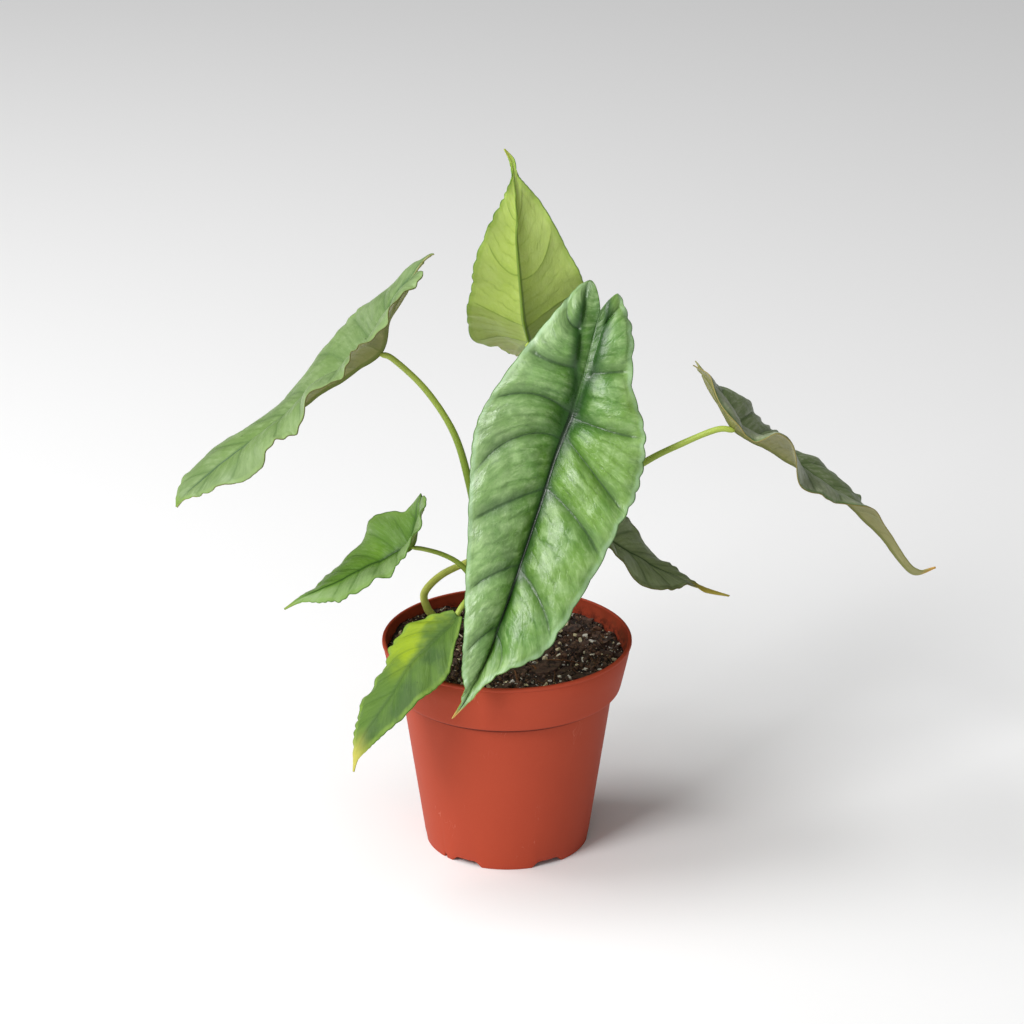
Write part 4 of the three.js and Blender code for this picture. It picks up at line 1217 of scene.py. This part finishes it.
    # the painted shade beside the side veins goes on here
    vein_shade = w.times(entry["Lateral Strength"], entry["Shade Amount"])
    tone = w.mix(w.times(shade, vein_shade), tone, entry["Deep"])
    # darker green beside the midrib: partly the blade's own colour, partly painted shade where the blade
    # sinks into the valley along the midrib
    reach = w.times(entry["Midrib Reach"], w.plus(0.75, sway))
    midrib_tint_and_shade_fade = w.times(w.remap(rim, 0.5, 9.0), before_tip)
    midrib_tint_and_shade = w.times(w.remap(rib, reach, 0.6), midrib_tint_and_shade_fade)
    midrib_tint_and_shade = w.times(midrib_tint_and_shade, rib_fade)
    tone = w.mix(w.times(midrib_tint_and_shade, entry["Midrib Strength"]), tone, entry["Deep"])
    # painted shade round the hollow where the stalk joins the blade
    along_seat = w.times(w.minus(whole, entry["Seat"]), entry["Length"])
    across_seat = w.times(out, 20.0)
    to_seat = w.math("SQRT", w.plus(w.times(along_seat, along_seat), w.times(across_seat, across_seat)))
    to_seat = w.plus(to_seat, w.times(sway, 5.0))
    tone = w.mix(w.times(w.remap(to_seat, 15.0, 2.0), entry["Seat Shade"]), tone, entry["Deep"])
    veins = w.math("MAXIMUM", line, collect)
    side_vein = w.mix(0.45, entry["Vein"], entry["Deep"])
    tone = w.mix(w.times(veins, entry["Lateral Strength"]), tone, side_vein)
    rib_line = w.remap(w.math("DIVIDE", rib, entry["Midrib Width"]), 1.3, 0.85)
    rib_line = w.times(rib_line, w.times(w.remap(rim, 0.2, 1.5), before_tip))
    rib_line = w.times(rib_line, rib_fade)
    in_lobe = w.remap(w.minus(entry["Seat"], whole), 0.0, 0.03)
    weaker = w.times(in_lobe, w.minus(1.0, entry["Costa Strength"]))
    rib_line = w.times(rib_line, w.minus(1.0, weaker))
    tone = w.mix(w.times(rib_line, entry["Midrib Strength"]), tone, entry["Vein"])

    # the base, the yellowed drip tip and the thin edge
    foot = w.times(w.remap(w.plus(whole, w.times(sway, 0.08)), 0.2, 0.02), entry["Foot Amount"])
    tone = w.mix(foot, tone, entry["Foot"])
    # a band just inside the edge; where its colour is paler than the blade, as on the front leaf, it is
    # partly a painted highlight on the rolled margin
    band_amount = w.plus(0.25, w.times(broken, 0.45))
    band = w.times(w.remap(rim, 2.6, 1.2), band_amount)
    tone = w.mix(band, tone, entry["Rim Light"])
    edge = w.remap(rim, w.times(entry["Rim Width"], w.plus(1.6, wobble)), 0.0)
    edge_tone = w.mix(w.remap(whole, 0.72, 0.92), entry["Rim"], entry["Warm"])
    tone = w.mix(edge, tone, edge_tone)
    tip_end = w.plus(entry["Tip Start"], entry["Tip Length"])
    tip = w.remap(w.plus(whole, w.times(wobble, 0.05)), entry["Tip Start"], tip_end)
    tone = w.mix(tip, tone, entry["Tip"])
    dots = w.dots(specks, 330.0, 0.16, 0.06)
    big_dots = w.dots(specks, 150.0, 0.11, 0.07)
    dot_mask = w.times(w.math("MAXIMUM", dots, big_dots), entry["Specks"])
    tone = w.mix(dot_mask, tone, colour(52, 62, 34))
    w.plug(leave["Color"], tone)

    fine = w.noise(place, 900.0, 2.0)
    rough = w.plus(entry["Gloss"], w.times(w.minus(patch_fine, 0.5), 0.12))
    rough = w.plus(rough, w.times(w.minus(fine, 0.5), 0.1))
    w.plug(leave["Roughness"], rough)
    height = w.times(streak, 0.9)
    height = w.minus(height, w.times(line, 0.15))
    height = w.minus(height, w.times(minor, 0.4))
    height = w.minus(height, w.times(w.remap(net.outputs["Distance"], 0.25, 0.0), 0.35))
    height = w.plus(height, w.times(fine, 0.12))
    w.plug(leave["Height"], height)
    return tree


def new_material(name):
    material = bpy.data.materials.new(name)
    material.use_nodes = True
    tree = material.node_tree
    tree.nodes.clear()
    w = Wiring(tree)
    shader = w.node("BsdfPrincipled")
    output = w.node("OutputMaterial")
    tree.links.new(shader.outputs[0], output.inputs["Surface"])
    return material, w, shader


def bumped(w, shader, height, strength, distance):
    bump = w.node("Bump", {"Strength": strength, "Distance": distance, "Height": height})
    w.plug(shader.inputs["Normal"], bump.outputs[0])


def leaf_material(name, skin, values, specular, glow):
    material, w, shader = new_material(name)
    group = w.node("Group", values, node_tree=skin)
    w.plug(shader.inputs["Base Color"], group.outputs["Color"])
    w.plug(shader.inputs["Roughness"], group.outputs["Roughness"])
    shader.inputs["Specular IOR Level"].default_value = specular
    # light from behind comes through a thin blade
    shader.inputs["Subsurface Weight"].default_value = glow
    shader.inputs["Subsurface Radius"].default_value = (0.8, 1.0, 0.3)
    shader.inputs["Subsurface Scale"].default_value = 0.001
    bumped(w, shader, group.outputs["Height"], 0.3, 0.0004)
    return material


LEAF_COLOURS = {
    "front": {
        "upper": {"Base": (76, 124, 38), "Deep": (38, 78, 22), "Pale": (170, 200, 138),
                  "Warm": (118, 156, 50), "Vein": (30, 50, 28), "Rim": (76, 114, 52),
                  "Rim Light": (150, 182, 138), "Tip": (204, 168, 84), "Foot": (98, 138, 66)},
        "under": {"Base": (134, 156, 80), "Deep": (110, 134, 60), "Pale": (164, 180, 112),
                  "Warm": (140, 162, 74), "Vein": (92, 118, 46), "Rim": (80, 100, 50),
                  "Rim Light": (150, 164, 104), "Tip": (206, 176, 84), "Foot": (134, 156, 80)},
        "numbers": {"Tip Start": 0.925, "Tip Length": 0.045, "Lateral Strength": 0.6, "Warm Side": 0.15,
                    "Painted Light Side": -0.38, "Painted Light End": 0.95, "Outer Pale": 0.05, "Pale Amount": 0.36,
                    "Deep Amount": 0.8, "Midrib Reach": 9.0, "Midrib End": 0.8, "Seat Shade": 0.75,
                    "Length": 235.0, "Costa Strength": 0.3, "Gloss": 0.34},
    },
    "left": {
        "upper": {"Base": (109, 133, 81), "Deep": (82, 110, 57), "Pale": (144, 166, 118),
                  "Warm": (104, 138, 52), "Vein": (64, 92, 52), "Rim": (98, 118, 56),
                  "Rim Light": (128, 154, 92), "Tip": (112, 142, 60), "Foot": (120, 150, 84)},
        "under": {"Base": (146, 148, 92), "Deep": (120, 126, 66), "Pale": (176, 172, 120),
                  "Warm": (140, 146, 78), "Vein": (104, 118, 50), "Rim": (96, 98, 46),
                  "Rim Light": (156, 158, 98), "Tip": (146, 156, 76), "Foot": (146, 148, 92)},
        "numbers": {"Specks": 0.8, "Lateral Strength": 0.35, "Midrib Strength": 1.0, "Gloss": 0.42,
                    "Outer Pale": 0.2},
    },
    "top": {
        "upper": {"Base": (104, 144, 66), "Deep": (74, 112, 46), "Pale": (146, 178, 116),
                  "Warm": (118, 156, 58), "Vein": (48, 78, 44), "Rim": (84, 118, 50),
                  "Rim Light": (134, 164, 100), "Tip": (144, 154, 62), "Foot": (104, 144, 66)},
        "under": {"Base": (156, 176, 84), "Deep": (144, 166, 72), "Pale": (186, 204, 122),
                  "Warm": (162, 180, 84), "Vein": (92, 120, 38), "Rim": (100, 132, 50),
                  "Rim Light": (150, 174, 78), "Tip": (160, 168, 70), "Foot": (150, 148, 82)},
        "numbers": {"Pale Amount": 0.35, "Deep Amount": 0.3},
    },
    # the right leaf's upper colours are paler and greyer than the other leaves' green, which is partly
    # painted sheen from light glancing off the blade
    "right": {
        "upper": {"Base": (134, 150, 106), "Deep": (104, 124, 78), "Pale": (184, 190, 162),
                  "Warm": (104, 130, 64), "Vein": (60, 78, 46), "Rim": (52, 84, 30),
                  "Rim Light": (84, 122, 48), "Tip": (190, 146, 64), "Foot": (94, 110, 70)},
        "under": {"Base": (142, 142, 90), "Deep": (120, 124, 68), "Pale": (172, 166, 122),
                  "Warm": (138, 140, 78), "Vein": (112, 116, 58), "Rim": (134, 124, 70),
                  "Rim Light": (150, 148, 94), "Tip": (200, 156, 74), "Foot": (142, 142, 90)},
        "numbers": {"Tip Start": 0.93, "Tip Length": 0.06, "Gloss": 0.42, "Lateral Strength": 0.4,
                    "Streaks": 0.65, "Painted Light Side": -0.4, "Outer Pale": 0.0},
    },
    # painted light: the rear leaf's upper colours are paler than its own green, to make up for the front
    # leaf's shade and to stand for its sheen
    "rear": {
        "upper": {"Base": (140, 156, 112), "Deep": (116, 132, 88), "Pale": (168, 178, 146),
                  "Warm": (140, 154, 98), "Vein": (70, 88, 52), "Rim": (104, 104, 50),
                  "Rim Light": (96, 108, 60), "Tip": (170, 154, 64), "Foot": (84, 98, 64)},
        "under": {"Base": (122, 130, 76), "Deep": (98, 108, 54), "Pale": (146, 150, 100),
                  "Warm": (122, 130, 66), "Vein": (90, 100, 46), "Rim": (80, 84, 36),
                  "Rim Light": (126, 134, 76), "Tip": (170, 154, 64), "Foot": (122, 130, 76)},
        "numbers": {"Tip Start": 0.74, "Tip Length": 0.12, "Gloss": 0.42, "Streaks": 0.45},
    },
    "small": {
        "upper": {"Base": (104, 144, 54), "Deep": (80, 120, 38), "Pale": (150, 174, 124),
                  "Warm": (112, 150, 46), "Vein": (58, 90, 34), "Rim": (88, 124, 48),
                  "Rim Light": (122, 156, 76), "Tip": (132, 156, 66), "Foot": (98, 138, 48)},
        "under": {"Base": (136, 162, 76), "Deep": (112, 140, 54), "Pale": (160, 182, 104),
                  "Warm": (138, 162, 66), "Vein": (98, 124, 44), "Rim": (76, 104, 40),
                  "Rim Light": (144, 168, 86), "Tip": (136, 158, 66), "Foot": (136, 162, 76)},
        "numbers": {"Specks": 0.5, "Lateral Strength": 0.4, "Pale Amount": 0.15, "Painted Light Side": 0.6},
    },
    "low": {
        "upper": {"Base": (84, 114, 46), "Deep": (64, 92, 44), "Pale": (116, 144, 78),
                  "Warm": (144, 166, 34), "Vein": (58, 86, 34), "Rim": (80, 112, 38),
                  "Rim Light": (122, 152, 62), "Tip": (184, 178, 84), "Foot": (112, 144, 50)},
        "under": {"Base": (140, 160, 70), "Deep": (116, 140, 50), "Pale": (162, 180, 98),
                  "Warm": (146, 166, 60), "Vein": (98, 122, 42), "Rim": (80, 106, 36),
                  "Rim Light": (144, 166, 80), "Tip": (190, 182, 76), "Foot": (140, 160, 70)},
        "numbers": {"Tip Start": 0.74, "Tip Length": 0.2, "Lateral Strength": 0.25, "Specks": 0.5,
                    "Warm Side": -1.0, "Warm Amount": 0.95, "Warm End": 0.42, "Deep Amount": 0.8,
                    "Pale Amount": 0.12, "Streaks": 0.2, "Midrib Strength": 0.3, "Gloss": 0.5,
                    "Shade Amount": 0.4},
    },
}
UNDER_NUMBERS = {"Gloss": 0.5, "Pale Amount": 0.3, "Streaks": 0.15, "Lateral Strength": 0.75,
                 "Midrib Strength": 0.8, "Midrib Reach": 1.2, "Specks": 0.1, "Line Width": 0.5,
                 "Shade Amount": 0.2, "Midrib Width": 1.2}
SHEEN = {"front": 0.5, "left": 0.28, "top": 0.2, "right": 0.35, "rear": 0.3, "small": 0.18, "low": 0.12}
GLOW = {"top": 0.6}         # how much light comes through a blade from behind
PAINTED_LIGHT_HALF = {"top": 0.5}     # painted light: the half of an underside made paler as if lit through, the left below 0, the right above
BROWN_BASE = {"top": 0.6}   # how brown an underside is at the blade's base


def leaf_materials(name, skin):
    looks = LEAF_COLOURS[name]
    made = []
    for face in ("upper", "under"):
        values = {key: colour(*c) for key, c in looks[face].items()}
        if face == "under":
            values.update(UNDER_NUMBERS)
            values["Tip Start"] = looks["numbers"].get("Tip Start", 0.9)
            values["Tip Length"] = looks["numbers"].get("Tip Length", 0.08)
            values["Foot Amount"] = BROWN_BASE.get(name, 0.0)
            values["Painted Light Side"] = PAINTED_LIGHT_HALF.get(name, 0.0)
        else:
            values.update(looks["numbers"])
        values["Seat"] = LEAVES[name]["seat"]
        made.append(leaf_material(f"leaf_{name}_{face}", skin, values, SHEEN[name], GLOW.get(name, 0.0)))
    return made


def stalk_material(name, mottle, near, middle):
    material, w, shader = new_material(name)
    share = w.attribute("stalk").outputs["Fac"]
    place = w.place()
    # paler near the blade and darker lower down: partly the stalk's own colour, partly painted shade where
    # the leaves shade the lower stalks
    tone = w.mix(w.remap(share, 0.0, 0.5), near, middle)
    tone = w.mix(w.remap(share, 0.75, 1.0), tone, colour(166, 172, 104))
    patch = w.patches(mottle, 120.0, 0.2, 0.5)
    tone = w.mix(w.times(patch, 0.3), tone, colour(124, 150, 48))
    fine = w.noise(place, 1400.0, 2.0)
    w.plug(shader.inputs["Base Color"], tone)
    w.plug(shader.inputs["Roughness"], w.plus(0.34, w.times(fine, 0.16)))
    shader.inputs["Specular IOR Level"].default_value = 0.3
    bumped(w, shader, fine, 0.15, 0.0002)
    return material


# Places on the pot for its material, in metres
COLLAR_SHADE_FOOT = (0.0684, 0.0692)        # painted shade in the step under the collar comes in between these heights
COLLAR_SHADE_TOP = (0.0712, 0.0706)         # and goes out between these
INSIDE_RADIUS = 0.0477              # of the collar, at the height below
INSIDE_HEIGHT = 0.072
INSIDE_SLOPE = 0.205                # more radius for each metre up


def pot_material(mottle, specks):
    material, w, shader = new_material("moulded_red_plastic")
    place = w.place()
    x, y, z = w.split(place)
    patch = w.patches(mottle, 30.0, 0.3, 0.5)
    tone = w.mix(w.times(patch, 0.4), colour(176, 72, 48), colour(170, 67, 45))
    grain = w.noise(place, 1600.0, 2.0)
    tone = w.mix(w.times(w.remap(grain, 0.4, 0.7), 0.1), tone, colour(190, 84, 60))
    dust = w.dots(specks, 260.0, 0.1, 0.04)
    tone = w.mix(w.times(dust, 0.3), tone, colour(216, 140, 116))
    # short pale scuffs: bent bands of a stretched noise, kept in a few places only
    bent = w.join(w.times(x, 3.0), y, w.times(z, 0.8))
    waves = w.noise(bent, 90.0, 1.0, 0.5, 1.5)
    scratch = w.remap(w.math("ABSOLUTE", w.minus(waves, 0.5)), 0.012, 0.0)
    few = w.remap(w.noise(place, 70.0, 2.0), 0.62, 0.7)
    tone = w.mix(w.times(w.times(scratch, few), 0.3), tone, colour(222, 150, 128))
    # painted shade in the step under the collar, where its overhang shades the body
    step = w.times(w.remap(z, *COLLAR_SHADE_FOOT), w.remap(z, *COLLAR_SHADE_TOP))
    tone = w.mix(w.times(step, 0.85), tone, colour(84, 28, 18))
    # soil clings to the inside above the mix, most of all at the right
    radius = w.math("SQRT", w.plus(w.times(x, x), w.times(y, y)))
    wall_here = w.plus(w.times(w.minus(z, INSIDE_HEIGHT), INSIDE_SLOPE), INSIDE_RADIUS)
    inner = w.remap(w.minus(radius, wall_here), 0.0, -0.0003)
    inner = w.times(inner, w.remap(z, 0.0735, 0.0745))
    ragged = w.remap(w.noise(place, 420.0, 4.0, 0.7), 0.42, 0.62)
    splash = w.times(w.remap(z, 0.0905, 0.0845), ragged)
    film = w.times(w.remap(x, 0.034, 0.05), w.remap(w.noise(place, 120.0, 3.0, 0.6), 0.35, 0.6))
    film = w.times(film, w.remap(z, 0.0925, 0.088))
    tone = w.mix(w.times(w.times(film, inner), 0.45), tone, colour(110, 70, 44))
    tone = w.mix(w.times(w.times(splash, inner), 0.75), tone, colour(52, 34, 26))
    w.plug(shader.inputs["Base Color"], tone)
    w.plug(shader.inputs["Roughness"], w.plus(0.5, w.times(grain, 0.12)))
    shader.inputs["Specular IOR Level"].default_value = 0.12
    bumped(w, shader, grain, 0.1, 0.0002)
    return material


def soil_material(name, dark, light, scale=420.0, other=None, damp=0.15):
    """Grainy matt matter; lumps with a high tint take the other colour."""
    material, w, shader = new_material(name)
    place = w.place()
    grain = w.noise(place, scale, 6.0, 0.7, 0.5)
    tone = w.mix(w.remap(grain, 0.35, 0.7), dark, light)
    if other:
        tint = w.attribute("tint").outputs["Fac"]
        tone = w.mix(w.times(w.remap(tint, 0.4, 0.9), 0.8), tone, other)
    w.plug(shader.inputs["Base Color"], tone)
    shader.inputs["Roughness"].default_value = 0.95 - 0.7 * damp
    shader.inputs["Specular IOR Level"].default_value = damp
    bumped(w, shader, grain, 0.7, 0.001)
    return material


mottle = mottle_group()
specks = specks_group()
leaf_skin = leaf_skin_group(mottle, specks)
stalk_skin = stalk_material("stalk_skin", mottle, colour(176, 194, 86), colour(120, 146, 46))
# painted light: a paler copy of the stalk skin for the rear leaf's stalk, which lies in the front leaves'
# shade
painted_light_stalk = stalk_material("yellow_stalk_skin", mottle, colour(204, 216, 100), colour(234, 240, 118))

for name, leaf in LEAVES.items():
    upper, under = leaf_materials(name, leaf_skin)
    build_blade(name, leaf, upper, under)
    build_petiole(name, leaf, painted_light_stalk if name == "rear" else stalk_skin)

pot_plastic = pot_material(mottle, specks)
peat = soil_material("peat", colour(18, 11, 9), colour(72, 52, 42), damp=0.4)
crumb = soil_material("peat_crumb", colour(26, 17, 13), colour(128, 98, 78), 900.0,
                      other=colour(116, 82, 62), damp=0.5)
bark = soil_material("bark", colour(40, 28, 23), colour(112, 86, 72), 300.0, damp=0.45)
dry_skin = soil_material("dry_sheath", colour(122, 92, 56), colour(196, 164, 112), 300.0)
foam_stone = soil_material("perlite", colour(206, 198, 180), colour(252, 250, 244), 700.0,
                           other=colour(244, 230, 178))
root_skin = soil_material("root", colour(96, 62, 42), colour(156, 116, 82), 500.0)
pale_root = soil_material("pale_root", colour(196, 180, 150), colour(238, 230, 210), 500.0)
build_pot(pot_plastic)
build_soil(peat)
scatter_lumps("soil_crumbs", crumb, seed=41, count=2400, sizes=(0.35, 1.2), shape=(1, 0.8, 0.65),
              level=2, rough=0.18, sink=0.4, cuts=3)
scatter_lumps("soil_clods", crumb, seed=42, count=260, sizes=(0.9, 2.4), shape=(1, 0.8, 0.6),
              level=3, rough=0.12, sink=0.5, cuts=5)
scatter_lumps("perlite_grains", foam_stone, seed=43, count=260, sizes=(0.5, 1.9), shape=(1, 0.8, 0.7),
              level=3, rough=0.08, sink=0.35, cuts=8, pits=0.3, spots=GRAINS)
scatter_lumps("perlite_dust", foam_stone, seed=44, count=900, sizes=(0.18, 0.6), shape=(1, 0.9, 0.8),
              level=1, rough=0.2, sink=0.1)
build_bark(bark)
build_fibres(root_skin, "peat_fibres", seed=51, count=110, lengths=(3, 9), thickness=0.14, rise=1.5)
build_strands("brown_slivers", root_skin, BROWN_STRANDS)
build_strands("white_root", pale_root, PALE_STRANDS)
build_crown(dry_skin)
build_sprout(stalk_skin)

# Floor, light and camera, in metres
FLOOR_HALF = 6
BRIGHT_SIDE = (-0.5, -0.75, 0.43)       # the room is bright at the front left and dim at the back right
ROOM_LIGHT = (0.02, 0.62)

floor_mesh = bpy.data.meshes.new("floor")
corners = [(x * FLOOR_HALF, y * FLOOR_HALF, 0) for x, y in ((-1, -1), (1, -1), (1, 1), (-1, 1))]
floor_mesh.from_pydata(corners, [], [[0, 1, 2, 3]])
floor = bpy.data.objects.new("floor", floor_mesh)
bpy.context.scene.collection.objects.link(floor)
floor_paint, w, shader = new_material("pale_floor")
shader.inputs["Base Color"].default_value = (0.9, 0.9, 0.9, 1)
shader.inputs["Roughness"].default_value = 0.9
shader.inputs["Specular IOR Level"].default_value = 0.0
floor_mesh.materials.append(floor_paint)

world = bpy.data.worlds.new("studio")
bpy.context.scene.world = world
world.use_nodes = True
background = world.node_tree.nodes["Background"]
background.inputs["Color"].default_value = (1.0, 1.0, 1.0, 1)
sky = Wiring(world.node_tree)
facing = sky.node("VectorMath", {0: sky.node("TexCoord").outputs["Generated"], 1: BRIGHT_SIDE},
                  operation="DOT_PRODUCT")
sky.plug(background.inputs["Strength"], sky.remap(facing.outputs["Value"], -0.5, 0.9, *ROOM_LIGHT))


def softbox(name, place, target, size, power):
    light = bpy.data.lights.new(name, "AREA")
    light.shape = "SQUARE"
    light.size = size
    light.energy = power
    lamp = bpy.data.objects.new(name, light)
    bpy.context.scene.collection.objects.link(lamp)
    lamp.location = place
    aim = np.subtract(target, place)
    flat = math.hypot(aim[0], aim[1])
    lamp.rotation_euler = (math.atan2(flat, -aim[2]), 0, math.atan2(-aim[0], aim[1]))


softbox("key_softbox", place=(-1.1, -1.2, 1.45), target=(0, 0, 0.14), size=0.75, power=27)
softbox("side_softbox", place=(-1.05, 0.0, 1.55), target=(0, 0, 0.12), size=1.0, power=19)

camera = bpy.data.cameras.new("photo_camera")
camera.lens = CAMERA_LENS
camera.sensor_width = SENSOR
eye = bpy.data.objects.new("photo_camera", camera)
bpy.context.scene.collection.objects.link(eye)
eye.location = CAMERA_PLACE
eye.rotation_euler = (math.pi / 2 - CAMERA_DOWN, 0, 0)
bpy.context.scene.camera = eye
bpy.context.scene.view_settings.view_transform = "Standard"
